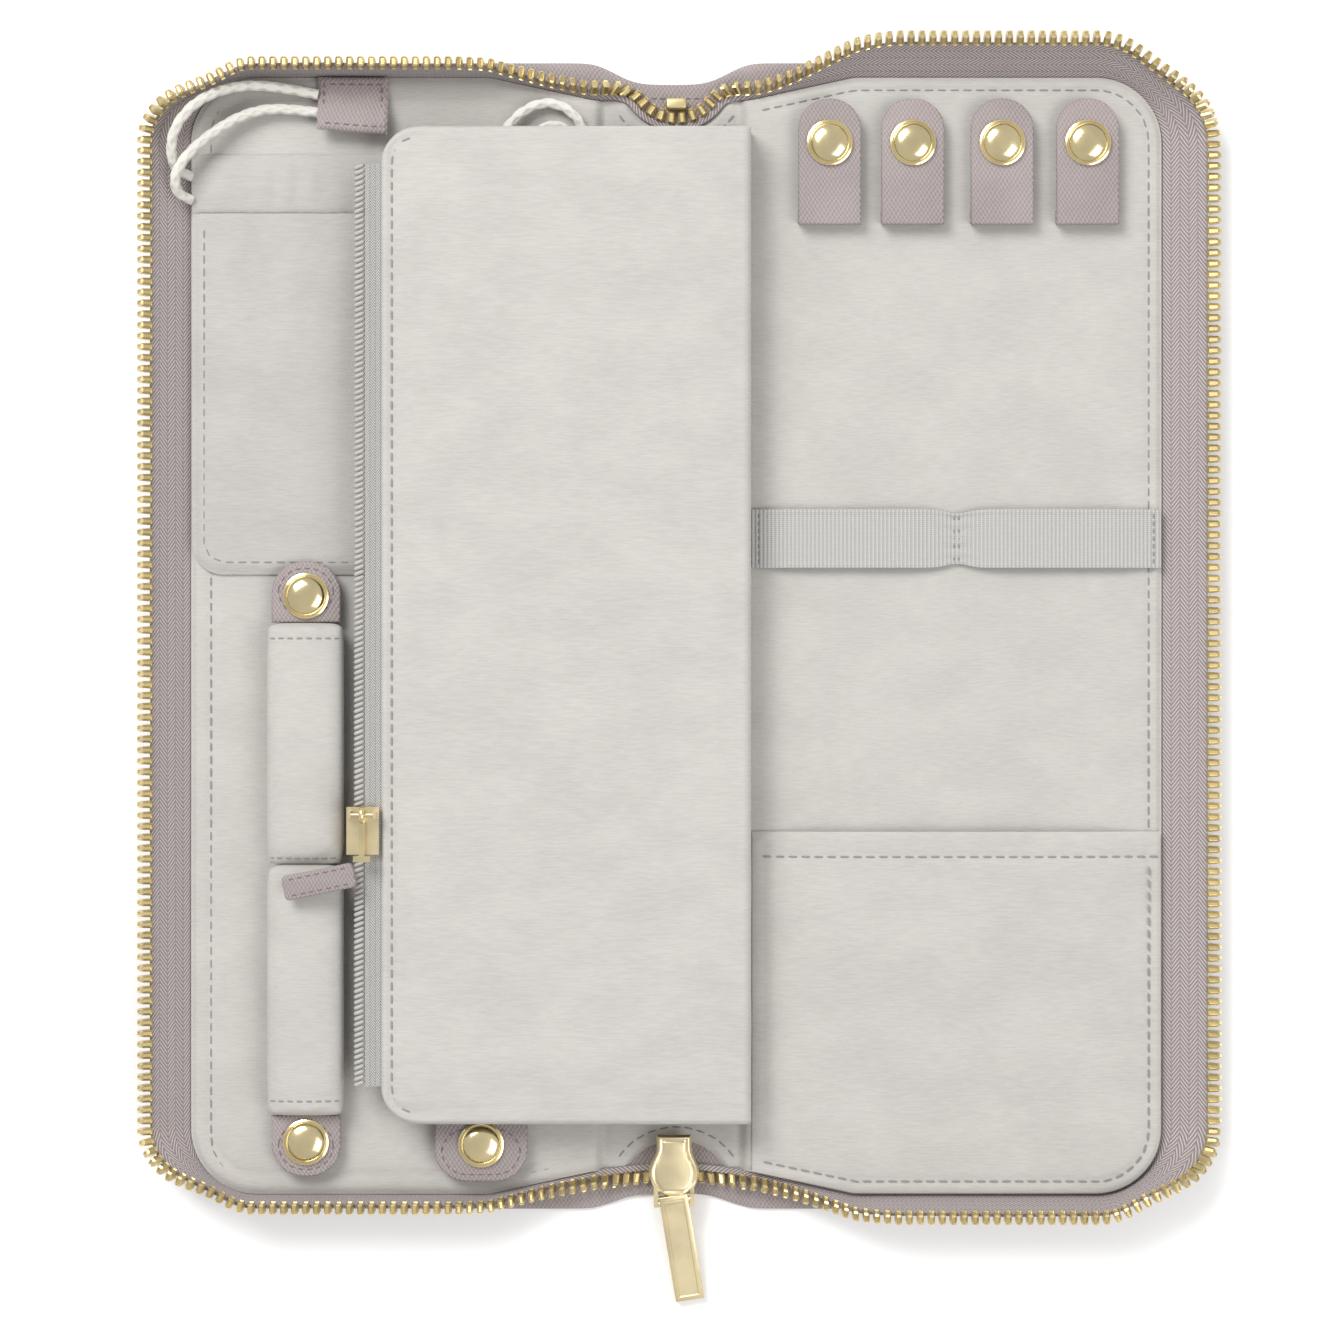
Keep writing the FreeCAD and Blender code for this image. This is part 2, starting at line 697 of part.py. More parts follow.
# ---------------------------------------------------------------- leaf
leaf_turn_x = pivot_x - binding_strip_width
leaf_panel_right = leaf_turn_x - leaf_turn_gap / 2
leaf_low_z = leaf_mid_z - leaf_t / 2
leaf_high_z = leaf_mid_z + leaf_t / 2
coil_right_x = leaf_free_x - zip_tape_width + 1.0
coil_left_x = coil_right_x - coil_width


def leaf_binding():
    """The padded strip that joins the leaf to the seam, with the cord along its sewn edge."""
    cord = Part.makeCylinder(binding_radius, leaf_top_y - leaf_bottom_y,
                             V(pivot_x, leaf_bottom_y, leaf_mid_z), V(0, 1, 0))
    web = box(pivot_x - binding_web, pivot_x, leaf_bottom_y, leaf_top_y,
              leaf_mid_z - binding_radius / 2, leaf_mid_z + binding_radius / 2)
    strip = box(leaf_turn_x + leaf_turn_gap / 2, pivot_x - 1, leaf_bottom_y, leaf_top_y,
                leaf_low_z, leaf_high_z)
    return cord.fuse([web, strip]).removeSplitter()


def leaf_corners(inset):
    """The leaf's outline: square at the binding, rounded at its free corners."""
    radius = max(leaf_corner - inset, 0)
    return [(leaf_panel_right - inset, leaf_bottom_y + inset, 0),
            (leaf_panel_right - inset, leaf_top_y - inset, 0),
            (leaf_free_x, leaf_top_y - inset, radius), (leaf_free_x, leaf_bottom_y + inset, radius)]


def leaf_front():
    """The cloth panel that faces up."""
    return plate(leaf_corners(0), leaf_high_z - leaf_panel_t, leaf_high_z)


def leaf_back():
    """The cloth panel that faces down."""
    return plate(leaf_corners(0), leaf_low_z, leaf_low_z + leaf_panel_t)


def leaf_edge_seam():
    """The turned-in seam allowance between the two panels, along three edges."""
    low = leaf_low_z + leaf_panel_t
    high = leaf_high_z - leaf_panel_t
    outline = plate(leaf_corners(0), low, high)
    inside = plate([(leaf_panel_right - leaf_seam, leaf_bottom_y + leaf_seam, 0),
                    (leaf_panel_right - leaf_seam, leaf_top_y - leaf_seam, 0),
                    (leaf_free_x - 1, leaf_top_y - leaf_seam, 0),
                    (leaf_free_x - 1, leaf_bottom_y + leaf_seam, 0)], low, high)
    return outline.cut(inside).cut(box(leaf_free_x - 1, leaf_free_x + leaf_corner,
                                       leaf_bottom_y - 1, leaf_top_y + 1, low, high))


zip_top_y = leaf_top_y - leaf_corner
zip_bottom_y = leaf_bottom_y + leaf_corner


def leaf_zip_tape(z0):
    """One woven half of the leaf's zip, from under its panel's edge to the coil."""
    return box(coil_right_x, coil_right_x + zip_tape_width, zip_bottom_y, zip_top_y, z0, z0 + zip_tape_t)


def leaf_coil():
    """The closed coil along the leaf's free edge."""
    return box(coil_left_x, coil_right_x, zip_bottom_y, zip_top_y,
               leaf_mid_z - coil_t / 2, leaf_mid_z + coil_t / 2)


slider_outer_x = coil_left_x - leaf_slider_clear - leaf_slider_wall
slider_inner_x = leaf_free_x - leaf_slider_clear
slider_half_gap = coil_t / 2 + leaf_slider_clear
link_pin_x = (slider_outer_x + slider_inner_x) / 2
link_pin_y = leaf_slider_y + leaf_slider_length / 2 - bridge_reach
link_pin_z = leaf_mid_z + slider_half_gap + leaf_slider_wall + link_wire + 1.5


def leaf_slider():
    """A small slider that grips the coil from its free side, with a bridge for the link."""
    y0 = leaf_slider_y - leaf_slider_length / 2
    y1 = leaf_slider_y + leaf_slider_length / 2
    high = leaf_mid_z + slider_half_gap + leaf_slider_wall
    low = leaf_mid_z - slider_half_gap - leaf_slider_wall
    body = box(slider_outer_x, slider_inner_x, y0, y1, low, high)
    channel = box(slider_outer_x + leaf_slider_wall, slider_inner_x + 1, y0 - 1, y1 + 1,
                  leaf_mid_z - slider_half_gap, leaf_mid_z + slider_half_gap)
    body = body.cut(channel)
    half = link_width / 2 - link_wire - 0.3
    for x in (link_pin_x - half - 2.2, link_pin_x + half + 1.4):
        body = body.fuse(box(x, x + bridge_wall, link_pin_y - bridge_wall, link_pin_y + bridge_wall,
                             high - 0.2, link_pin_z + link_pin_radius))
    pin = Part.makeCylinder(link_pin_radius, 2 * half + 4.0,
                            V(link_pin_x - half - 2.0, link_pin_y, link_pin_z), V(1, 0, 0))
    return body.fuse(pin).removeSplitter()


def leaf_link():
    """A wire loop round the slider's bridge that carries the leather pull."""
    half = link_width / 2 - link_wire
    end_y = link_pin_y - link_length
    z = link_pin_z
    eye = Part.makeTorus(link_eye_radius, link_wire, V(link_pin_x, link_pin_y, z), V(1, 0, 0))
    shank = box(link_pin_x - link_wire, link_pin_x + link_wire, end_y, link_pin_y - link_eye_radius,
                z - link_wire, z + link_wire)
    bar = box(link_pin_x - half - link_wire, link_pin_x + half + link_wire, end_y - 2 * link_wire, end_y,
              z - link_wire, z + link_wire)
    return eye.fuse([shank, bar]).removeSplitter()


def leaf_pull():
    """The folded leather pull, which leaves the link sideways and dips towards the ring bar."""
    dip = atan2(leaf_pull_drop, leaf_pull_length)
    root = V(link_pin_x - 1.5, link_pin_y - link_length - 2 * link_wire - leaf_pull_width / 2, link_pin_z)
    tab = box(-leaf_pull_length, 0, -leaf_pull_width / 2, leaf_pull_width / 2,
              -leaf_pull_t / 2, leaf_pull_t / 2)
    tab.rotate(V(0, 0, 0), V(0, 1, 0), -degrees(dip))
    tab.rotate(V(0, 0, 0), V(0, 0, 1), leaf_pull_turn)
    tab.translate(root)
    return tab


def build():
    """Make and write every sub-part."""
    os.makedirs("parts", exist_ok=True)
    covers = {"right": (right_fold_x, right_edge_x,
                        (right_side_reach, right_top_reach, right_bottom_reach)),
              "left": (left_fold_x, left_edge_x,
                       (left_side_reach, left_top_reach, left_bottom_reach))}
    for name, (fold_x, edge_x, reaches) in covers.items():
        save(name + "_cover_leather", cover_leather(fold_x, edge_x))
        save(name + "_cover_board", cover_board(fold_x, edge_x))
        save(name + "_lining", cover_lining(fold_x, edge_x))
        save(name + "_zip_tape", rim_strip(fold_x, edge_x, reaches, 0.0, 0.0, tape_t))
        save(name + "_zip_teeth", rim_strip(fold_x, edge_x, reaches, None, teeth_width, teeth_t))

    save("spine_leather", spine_leather())
    save("spine_lining", spine_lining())
    low = leather_t + layer_gap
    end_y = lining_half_y - shoulder_drop + notch_end_rise
    save("spine_tape_top", arc_band(notch_y, notch_tape_radius, notch_radius - notch_tape_gap,
                                    low, low + tape_t, end_y))
    save("spine_teeth_top", arc_band(notch_y, notch_teeth_radius, notch_tape_radius,
                                     low, low + notch_teeth_t, end_y))
    save("zip_top_stop", top_stop())
    save("spine_tape_bottom", bottom_tape())
    shoulder = slider_shoulder / 2 + spread_gap
    save("spine_teeth_bottom", Part.makeCompound([
        straight_teeth(left_fold_x + notch_trim, slider_x - shoulder),
        straight_teeth(slider_x + shoulder, right_fold_x - notch_trim)]))
    save("main_slider_body", slider_body())
    save("main_slider_cap", plate(bell_corners(1.0), slider_top_z, slider_top_z + slider_cap_t))
    save("main_slider_pin", slider_pin())
    save("main_slider_pull", slider_pull())

    for number, x in enumerate(necklace_tab_xs[:necklace_tab_count], 1):
        save("necklace_tab_%d" % number, necklace_tab(x))
        save("necklace_snap_%d" % number, tab_snap(x, necklace_cap_y))
    used = necklace_tab_xs[:necklace_tab_count]
    save("necklace_tab_anchors", Part.makeCompound([necklace_anchor(x) for x in used]))
    save("necklace_studs", Part.makeCompound([snap_stud(x, necklace_cap_y) for x in used]))
    save("elastic_band", elastic_band())
    save("bottom_pocket", pocket_panel())
    save("leaf_stand_strip", box(pivot_x - stand_t / 2, pivot_x + stand_t / 2, leaf_bottom_y, leaf_top_y,
                                 lining_top, leaf_mid_z - binding_radius - 0.2))

    save("drawstring_pouch", pouch_bag())
    save("pouch_channel", pouch_channel())
    save("cord_keeper", cord_keeper())
    save("drawcord_outer", tube(outer_cord, cord_diameter, "drawcord_outer"))
    save("drawcord_inner", tube(inner_cord, cord_diameter, "drawcord_inner"))
    save("drawcord_loop", tube(loop_cord, cord_diameter, "drawcord_loop"))

    save("ring_bar_middle", bar_piece(bar_lower_y, bar_upper_y))
    save("ring_bar_upper", bar_piece(bar_upper_y + bar_joint_gap, bar_top_y))
    save("ring_bar_lower", bar_piece(bar_bottom_y, bar_lower_y - bar_joint_gap))
    save("ring_bar_upper_tab", end_tab(bar_x, bar_top_y, end_tab_length, end_tab_width))
    save("ring_bar_lower_tab", end_tab(bar_x, bar_bottom_y, -end_tab_length, end_tab_width))
    save("bracelet_strap", bracelet_strap())
    save("bracelet_tab", end_tab(bracelet_x, bracelet_hinge_y, -bracelet_tab_length, bracelet_width))
    ends = {"ring_bar_upper": (bar_x, upper_cap_y), "ring_bar_lower": (bar_x, lower_cap_y),
            "bracelet": (bracelet_x, bracelet_cap_y)}
    for name, (x, y) in ends.items():
        save(name + "_snap", tab_snap(x, y))
    save("left_studs", Part.makeCompound([snap_stud(x, y) for x, y in ends.values()]))

    save("leaf_binding", leaf_binding())
    save("leaf_front", leaf_front())
    save("leaf_back", leaf_back())
    save("leaf_edge_seam", leaf_edge_seam())
    save("leaf_zip_tapes", Part.makeCompound([leaf_zip_tape(leaf_high_z - leaf_panel_t - zip_tape_t),
                                              leaf_zip_tape(leaf_low_z + leaf_panel_t)]))
    save("leaf_zip_coil", leaf_coil())
    save("leaf_slider", leaf_slider())
    save("leaf_pull_link", leaf_link())
    save("leaf_pull", leaf_pull())


build()
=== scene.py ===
"""Looks of a zip-around travel jewelry case that lies open and flat.

Sizes are in millimetres in the frame's own axes and are turned into metres only where a mesh, light
or camera is made.
"""

import logging
from dataclasses import dataclass, field
from enum import Enum
from math import cos, exp, pi, radians, sin, sqrt
from typing import Callable

import bpy
from mathutils import Matrix, Vector, noise


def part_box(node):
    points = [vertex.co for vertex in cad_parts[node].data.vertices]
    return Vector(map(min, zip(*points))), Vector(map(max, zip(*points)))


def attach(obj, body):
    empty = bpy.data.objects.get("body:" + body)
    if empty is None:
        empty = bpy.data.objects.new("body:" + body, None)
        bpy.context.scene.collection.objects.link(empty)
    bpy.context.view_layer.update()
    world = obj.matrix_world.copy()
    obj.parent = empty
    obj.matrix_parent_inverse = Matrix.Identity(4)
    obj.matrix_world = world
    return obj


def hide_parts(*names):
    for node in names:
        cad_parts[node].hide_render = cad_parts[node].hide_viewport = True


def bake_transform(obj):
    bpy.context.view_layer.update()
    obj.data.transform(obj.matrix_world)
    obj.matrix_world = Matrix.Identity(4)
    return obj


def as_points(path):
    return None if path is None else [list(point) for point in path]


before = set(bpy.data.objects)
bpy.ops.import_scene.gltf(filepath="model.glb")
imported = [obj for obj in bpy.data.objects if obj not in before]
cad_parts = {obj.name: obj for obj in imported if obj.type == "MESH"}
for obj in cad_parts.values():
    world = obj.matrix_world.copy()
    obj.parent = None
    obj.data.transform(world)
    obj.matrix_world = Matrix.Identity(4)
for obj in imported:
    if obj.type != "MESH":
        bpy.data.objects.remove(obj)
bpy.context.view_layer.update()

log = logging.getLogger("jewelry_case")
MM = 0.001
WEAVE = "weave"


# ================================================================ colours and shader recipes
@dataclass(frozen=True)
class Tint:
    """A colour given as screen values from 0 to 255."""

    red: float
    green: float
    blue: float

    def linear(self, gain: float = 1.0) -> tuple[float, float, float, float]:
        """The colour for a shader socket.

        Args:
            gain: brightness factor on the screen values.

        Returns:
            Linear red, green and blue with an alpha of 1.
        """
        channels = [min(c * gain / 255, 1.0) for c in (self.red, self.green, self.blue)]
        return tuple(c / 12.92 if c <= 0.04045 else ((c + 0.055) / 1.055) ** 2.4 for c in channels) + (1.0,)


class Signal:
    """One number output of a node, with Python's arithmetic on it."""

    def __init__(self, recipe: "Recipe", socket: bpy.types.NodeSocket) -> None:
        """Wraps a socket of a recipe's node tree."""
        self.recipe = recipe
        self.socket = socket

    def combine(self, operation: str, *others: "Signal | float", flipped: bool = False) -> "Signal":
        """Adds a Math node.

        Args:
            operation: the Math node's operation.
            others: the other values it takes.
            flipped: True if this signal is the second value.

        Returns:
            The node's result.
        """
        values = [self, *others]
        if flipped:
            values.reverse()
        made = self.recipe.node("ShaderNodeMath", {"operation": operation}, dict(enumerate(values)))
        return Signal(self.recipe, made.outputs[0])

    def __add__(self, other: "Signal | float") -> "Signal":
        """Sum."""
        return self.combine("ADD", other)

    __radd__ = __add__

    def __sub__(self, other: "Signal | float") -> "Signal":
        """Difference."""
        return self.combine("SUBTRACT", other)

    def __rsub__(self, other: float) -> "Signal":
        """Difference from a number."""
        return self.combine("SUBTRACT", other, flipped=True)

    def __mul__(self, other: "Signal | float") -> "Signal":
        """Product."""
        return self.combine("MULTIPLY", other)

    __rmul__ = __mul__

    def __truediv__(self, other: "Signal | float") -> "Signal":
        """Quotient."""
        return self.combine("DIVIDE", other)

    def wave(self) -> "Signal":
        """Sine of 2 pi times the signal, from 0 to 1."""
        return (self * (2 * pi)).combine("SINE") * 0.5 + 0.5

    def fold(self) -> "Signal":
        """Distance of the signal to the middle of its unit cell, from 0 to 0.5."""
        return (self.combine("FRACT") - 0.5).combine("ABSOLUTE")

    def ramp(self, low: float, high: float) -> "Signal":
        """A smooth step from 0 at low to 1 at high.

        Args:
            low: where the step starts.
            high: where it ends.

        Returns:
            The stepped signal.
        """
        made = self.recipe.node("ShaderNodeMapRange", {"interpolation_type": "SMOOTHSTEP"},
                                {"Value": self, "From Min": low, "From Max": high})
        return Signal(self.recipe, made.outputs[0])


class Recipe:
    """The node tree of one material."""

    def __init__(self, name: str) -> None:
        """Starts a material with its shader.

        Args:
            name: the material's name.
        """
        self.material = bpy.data.materials.new(name)
        self.material.use_nodes = True
        self.tree = self.material.node_tree
        self.shader = self.tree.nodes["Principled BSDF"]
        self.object_place: bpy.types.NodeSocket | None = None

    def node(self, kind: str, settings: dict | None = None, inputs: dict | None = None) -> bpy.types.Node:
        """Adds any node.

        Args:
            kind: the node's type.
            settings: its own properties, set first.
            inputs: values, signals or output sockets for its inputs, by name or number.

        Returns:
            The node.
        """
        made = self.tree.nodes.new(kind)
        for key, value in (settings or {}).items():
            setattr(made, key, value)
        for key, value in (inputs or {}).items():
            self.put(made.inputs[key], value)
        return made

    def put(self, socket: bpy.types.NodeSocket, value: object) -> None:
        """Links a signal or socket to an input, or sets the input's own value.

        Args:
            socket: the input.
            value: a signal, an output socket or a plain value.
        """
        if isinstance(value, Signal):
            self.tree.links.new(value.socket, socket)
        elif isinstance(value, bpy.types.NodeSocket):
            self.tree.links.new(value, socket)
        else:
            socket.default_value = value

    def place(self) -> bpy.types.NodeSocket:
        """Object coordinates, in metres.

        Returns:
            The coordinates' socket, made once.
        """
        if self.object_place is None:
            self.object_place = self.node("ShaderNodeTexCoord").outputs["Object"]
        return self.object_place

    def axes(self) -> tuple[Signal, Signal, Signal]:
        """Object coordinates as three signals in millimetres."""
        split = self.node("ShaderNodeSeparateXYZ", None, {0: self.place()})
        return tuple(Signal(self, out) * (1 / MM) for out in split.outputs)

    def weave(self) -> tuple[Signal, Signal]:
        """The piece's own weave map as two signals in millimetres: along it and across it.

        Returns:
            Millimetres along the cloth and across it.
        """
        found = self.node("ShaderNodeUVMap", {"uv_map": WEAVE})
        split = self.node("ShaderNodeSeparateXYZ", None, {0: found.outputs[0]})
        return Signal(self, split.outputs[0]), Signal(self, split.outputs[1])

    def noise(self, grain: float, detail: float = 2.0,
              stretch: tuple[float, float, float] = (1, 1, 1)) -> Signal:
        """Soft random variation.

        Args:
            grain: size of one blob in millimetres.
            detail: octaves of finer variation.
            stretch: how much shorter the blobs are along x, y and z.

        Returns:
            A signal from about 0 to 1.
        """
        mapped = self.node("ShaderNodeMapping", None, {"Vector": self.place(), "Scale": stretch})
        made = self.node("ShaderNodeTexNoise", None,
                         {"Vector": mapped.outputs[0], "Scale": 1 / (grain * MM), "Detail": detail})
        return Signal(self, made.outputs["Fac"])

    def between(self, mask: Signal, first: tuple, second: tuple) -> bpy.types.NodeSocket:
        """A colour that goes from the first to the second as the mask goes from 0 to 1."""
        made = self.node("ShaderNodeMix", {"data_type": "RGBA"}, {0: mask, 6: first, 7: second})
        return made.outputs[2]

    def relief(self, height: Signal, depth: float, strength: float = 1.0) -> None:
        """Gives the shader a bump.

        Args:
            height: relief from 0 to 1.
            depth: millimetres between 0 and 1.
            strength: share of the bump that is used.
        """
        made = self.node("ShaderNodeBump", None,
                         {"Height": height, "Distance": depth * MM, "Strength": strength})
        self.put(self.shader.inputs["Normal"], made.outputs[0])

    def surface(self, **values: object) -> bpy.types.Material:
        """Sets the shader's sockets, named with underscores for spaces, and returns the material.

        Args:
            values: a value, signal or socket for each named input.

        Returns:
            The finished material.
        """
        for name, value in values.items():
            self.put(self.shader.inputs[name.replace("_", " ")], value)
        return self.material


# ================================================================ finishes
@dataclass(frozen=True)
class Velvet:
    """Brushed lining cloth: soft pile over a fine weave, with a light sheen."""

    name: str
    tint: Tint
    pile: float = 0.16

    def make(self) -> bpy.types.Material:
        """Builds the material.

        Returns:
            The material.
        """
        recipe = Recipe(self.name)
        brushed = recipe.noise(16.0, 3.0, (1.0, 1.6, 1.0))
        threads = recipe.noise(1.1, 2.0, (0.35, 3.2, 1.0))
        nap = recipe.noise(0.34, 2.0)
        shade = (brushed.ramp(0.3, 0.72) * 0.35 + threads.ramp(0.3, 0.7) * 0.4 + nap * 0.25)
        colour = recipe.between(shade, self.tint.linear(0.94), self.tint.linear(1.03))
        recipe.relief(threads * 0.45 + nap * 0.55, self.pile, 0.7)
        return recipe.surface(Base_Color=colour, Roughness=0.92, Sheen_Weight=0.35, Sheen_Roughness=0.45,
                              Specular_IOR_Level=0.2)


@dataclass(frozen=True)
class CrossGrain:
    """Leather pressed with a fine slanting cross grain; its grooves are painted darker as shade and its ridge tops
    lighter as highlight.
    """

    name: str
    tint: Tint
    pitch: float = 0.78
    depth: float = 0.2

    def make(self) -> bpy.types.Material:
        """Builds the material.

        Returns:
            The material.
        """
        recipe = Recipe(self.name)
        x, y, z = recipe.axes()
        wander = recipe.noise(2.6, 2.0) * 0.7
        rising = ((x * 0.92 + y * 0.60 + z * 0.5) / self.pitch + wander).wave()
        falling = ((x * 0.92 - y * 0.60 + z * 0.5) / (self.pitch * 1.12) - wander).wave()
        ridges = rising.ramp(0.25, 0.85) * 0.6 + falling.ramp(0.35, 0.95) * 0.5
        worn = recipe.noise(22.0, 3.0)
        # Colour follows the pressed ridges: grooves are painted darker as painted shade and ridge tops lighter as
        # painted highlight; the worn patches are random tone.
        shade = ridges * 0.62 + worn.ramp(0.3, 0.75) * 0.38
        colour = recipe.between(shade, self.tint.linear(0.84), self.tint.linear(1.07))
        recipe.relief(ridges, self.depth, 0.8)
        return recipe.surface(Base_Color=colour, Roughness=0.62 - ridges * 0.16, Specular_IOR_Level=0.35)


@dataclass(frozen=True)
class Herringbone:
    """Zip tape woven in narrow slanting columns, laid out along the piece's weave map, with painted shade in the
    hollows of the weave and painted highlight on the rib tops.
    """

    name: str
    tint: Tint
    column: float = 1.9
    rib: float = 0.95

    def make(self) -> bpy.types.Material:
        """Builds the material.

        Returns:
            The material.
        """
        recipe = Recipe(self.name)
        along, over = recipe.weave()
        zigzag = (over / (2 * self.column)).fold()
        ribs = (along / self.rib + zigzag * (2.6 * self.column / self.rib)).wave()
        groove = (over / self.column).fold().ramp(0.40, 0.5)
        height = ribs.ramp(0.15, 0.85) * (1 - groove * 0.6)
        fuzz = recipe.noise(0.4)
        # Colour follows the weave's relief: the hollows between ribs and columns are painted darker as painted shade
        # and the rib tops lighter as painted highlight; the fuzz is random tone.
        colour = recipe.between(height * 0.8 + fuzz * 0.2, self.tint.linear(0.70), self.tint.linear(1.12))
        recipe.relief(height, 0.20, 0.9)
        return recipe.surface(Base_Color=colour, Roughness=0.8, Sheen_Weight=0.2)


class Polish(Enum):
    """How a gold part was finished: base roughness and depth of its scratches in millimetres."""

    MIRROR = (0.10, 0.006)
    BRUSHED = (0.26, 0.022)
    PLATED = (0.30, 0.014)


@dataclass(frozen=True)
class PaleGold:
    """Light gold plating with fine wear."""

    name: str
    tint: Tint
    polish: Polish

    def make(self) -> bpy.types.Material:
        """Builds the material.

        Returns:
            The material.
        """
        recipe = Recipe(self.name)
        rough, scratch = self.polish.value
        drift = recipe.noise(7.0, 3.0)
        if self.polish is Polish.BRUSHED:
            lines = recipe.noise(0.5, 3.0, (6.0, 0.25, 1.0))
        else:
            lines = recipe.noise(0.6, 2.0)
        colour = recipe.between(drift.ramp(0.3, 0.75), self.tint.linear(0.95), self.tint.linear(1.04))
        recipe.relief(lines, scratch, 0.6)
        return recipe.surface(Base_Color=colour, Metallic=1.0, Roughness=drift * 0.10 + lines * 0.06 + rough)


@dataclass(frozen=True)
class RibbedElastic:
    """Elastic webbing with ribs across it and a cord along each edge, with painted shade between the ribs and painted
    highlight on their tops.
    """

    name: str
    tint: Tint
    rib: float = 0.85

    def make(self) -> bpy.types.Material:
        """Builds the material.

        Returns:
            The material.
        """
        recipe = Recipe(self.name)
        along, over = recipe.weave()
        ribs = (along / self.rib).wave()
        rows = (over / 0.42).wave()
        height = ribs * 0.7 + rows * 0.3
        # Colour follows the ribs' relief: the hollows are painted darker as painted shade and the rib tops lighter as
        # painted highlight; the noise is random tone.
        colour = recipe.between(height * 0.8 + recipe.noise(0.5) * 0.2, self.tint.linear(0.83),
                                self.tint.linear(1.05))
        recipe.relief(height, 0.26, 0.9)
        return recipe.surface(Base_Color=colour, Roughness=0.72, Sheen_Weight=0.15)


@dataclass(frozen=True)
class Cotton:
    """Spun cotton: threads, stitches and braided cord."""

    name: str
    tint: Tint
    rough: float = 0.85

    def make(self) -> bpy.types.Material:
        """Builds the material.

        Returns:
            The material.
        """
        recipe = Recipe(self.name)
        fibre = recipe.noise(0.22, 2.0, (1.0, 1.0, 2.0))
        age = recipe.noise(6.0, 2.0)
        colour = recipe.between(fibre * 0.6 + age * 0.4, self.tint.linear(0.88), self.tint.linear(1.05))
        recipe.relief(fibre, 0.10, 0.8)
        return recipe.surface(Base_Color=colour, Roughness=self.rough, Sheen_Weight=0.25)


@dataclass(frozen=True)
class Nylon:
    """Smooth moulded thread of a coil zip."""

    name: str
    tint: Tint

    def make(self) -> bpy.types.Material:
        """Builds the material.

        Returns:
            The material.
        """
        recipe = Recipe(self.name)
        drift = recipe.noise(1.4, 2.0)
        colour = recipe.between(drift, self.tint.linear(0.93), self.tint.linear(1.04))
        recipe.relief(drift, 0.03, 0.5)
        return recipe.surface(Base_Color=colour, Roughness=0.42 + drift * 0.1)


@dataclass(frozen=True)
class RawBoard:
    """Grey pressed board inside the covers."""

    name: str
    tint: Tint

    def make(self) -> bpy.types.Material:
        """Builds the material.

        Returns:
            The material.
        """
        recipe = Recipe(self.name)
        flakes = recipe.noise(1.2, 4.0)
        colour = recipe.between(flakes, self.tint.linear(0.85), self.tint.linear(1.08))
        recipe.relief(flakes, 0.08)
        return recipe.surface(Base_Color=colour, Roughness=0.95)


@dataclass(frozen=True)
class PaleTable:
    """The plain surface under the case."""

    name: str
    tint: Tint

    def make(self) -> bpy.types.Material:
        """Builds the material.

        Returns:
            The material.
        """
        recipe = Recipe(self.name)
        colour = recipe.between(recipe.noise(300.0), self.tint.linear(0.995), self.tint.linear(1.0))
        return recipe.surface(Base_Color=colour, Roughness=0.9, Specular_IOR_Level=0.1)


@dataclass
class Wardrobe:
    """Every finish of the case, each made once."""

    lining: bpy.types.Material = field(init=False)
    leaf: bpy.types.Material = field(init=False)
    pouch: bpy.types.Material = field(init=False)
    leather: bpy.types.Material = field(init=False)
    tape: bpy.types.Material = field(init=False)
    leaf_tape: bpy.types.Material = field(init=False)
    coil: bpy.types.Material = field(init=False)
    teeth: bpy.types.Material = field(init=False)
    snap: bpy.types.Material = field(init=False)
    brushed: bpy.types.Material = field(init=False)
    elastic: bpy.types.Material = field(init=False)
    cord: bpy.types.Material = field(init=False)
    lining_thread: bpy.types.Material = field(init=False)
    leather_thread: bpy.types.Material = field(init=False)
    board: bpy.types.Material = field(init=False)

    def __post_init__(self) -> None:
        """Makes the materials."""
        self.lining = Velvet("grey_velvet_lining", Tint(188, 185, 180)).make()
        self.leaf = Velvet("grey_velvet_leaf", Tint(189, 186, 181), 0.14).make()
        self.pouch = Velvet("grey_velvet_pouch", Tint(182, 179, 175)).make()
        self.leather = CrossGrain("mauve_cross_grain_leather", Tint(167, 156, 155)).make()
        self.tape = Herringbone("mauve_herringbone_tape", Tint(178, 167, 166)).make()
        self.leaf_tape = Herringbone("grey_herringbone_tape", Tint(188, 186, 182), 1.1, 0.6).make()
        self.coil = Nylon("grey_nylon_coil", Tint(182, 179, 174)).make()
        self.teeth = PaleGold("gold_zip_teeth", Tint(216, 199, 152), Polish.PLATED).make()
        self.snap = PaleGold("gold_snap_caps", Tint(236, 219, 172), Polish.MIRROR).make()
        self.brushed = PaleGold("gold_brushed_slider", Tint(232, 216, 176), Polish.BRUSHED).make()
        self.elastic = RibbedElastic("grey_ribbed_elastic", Tint(192, 191, 187)).make()
        self.cord = Cotton("white_cotton_cord", Tint(222, 219, 211)).make()
        self.lining_thread = Cotton("grey_thread", Tint(146, 143, 139)).make()
        self.leather_thread = Cotton("mauve_thread", Tint(118, 104, 105)).make()
        self.board = RawBoard("raw_board", Tint(160, 150, 140)).make()


# ================================================================ making
Point = tuple[float, float, float]


def ease(x: float) -> float:
    """A smooth step from 0 at x = 0 to 1 at x = 1."""
    x = min(max(x, 0.0), 1.0)
    return x * x * (3 - 2 * x)


def ladder(start: float, *stops: tuple[float, int]) -> list[float]:
    """Values from start through each stop, each reached in its own count of equal steps.

    Args:
        start: first value.
        stops: each stop with its count of steps.

    Returns:
        The values in order.
    """
    values = [start]
    for stop, count in stops:
        first = values[-1]
        values += [first + (stop - first) * i / count for i in range(1, count + 1)]
    return values


def clear() -> None:
    """Deselects everything."""
    bpy.ops.object.select_all(action="DESELECT")


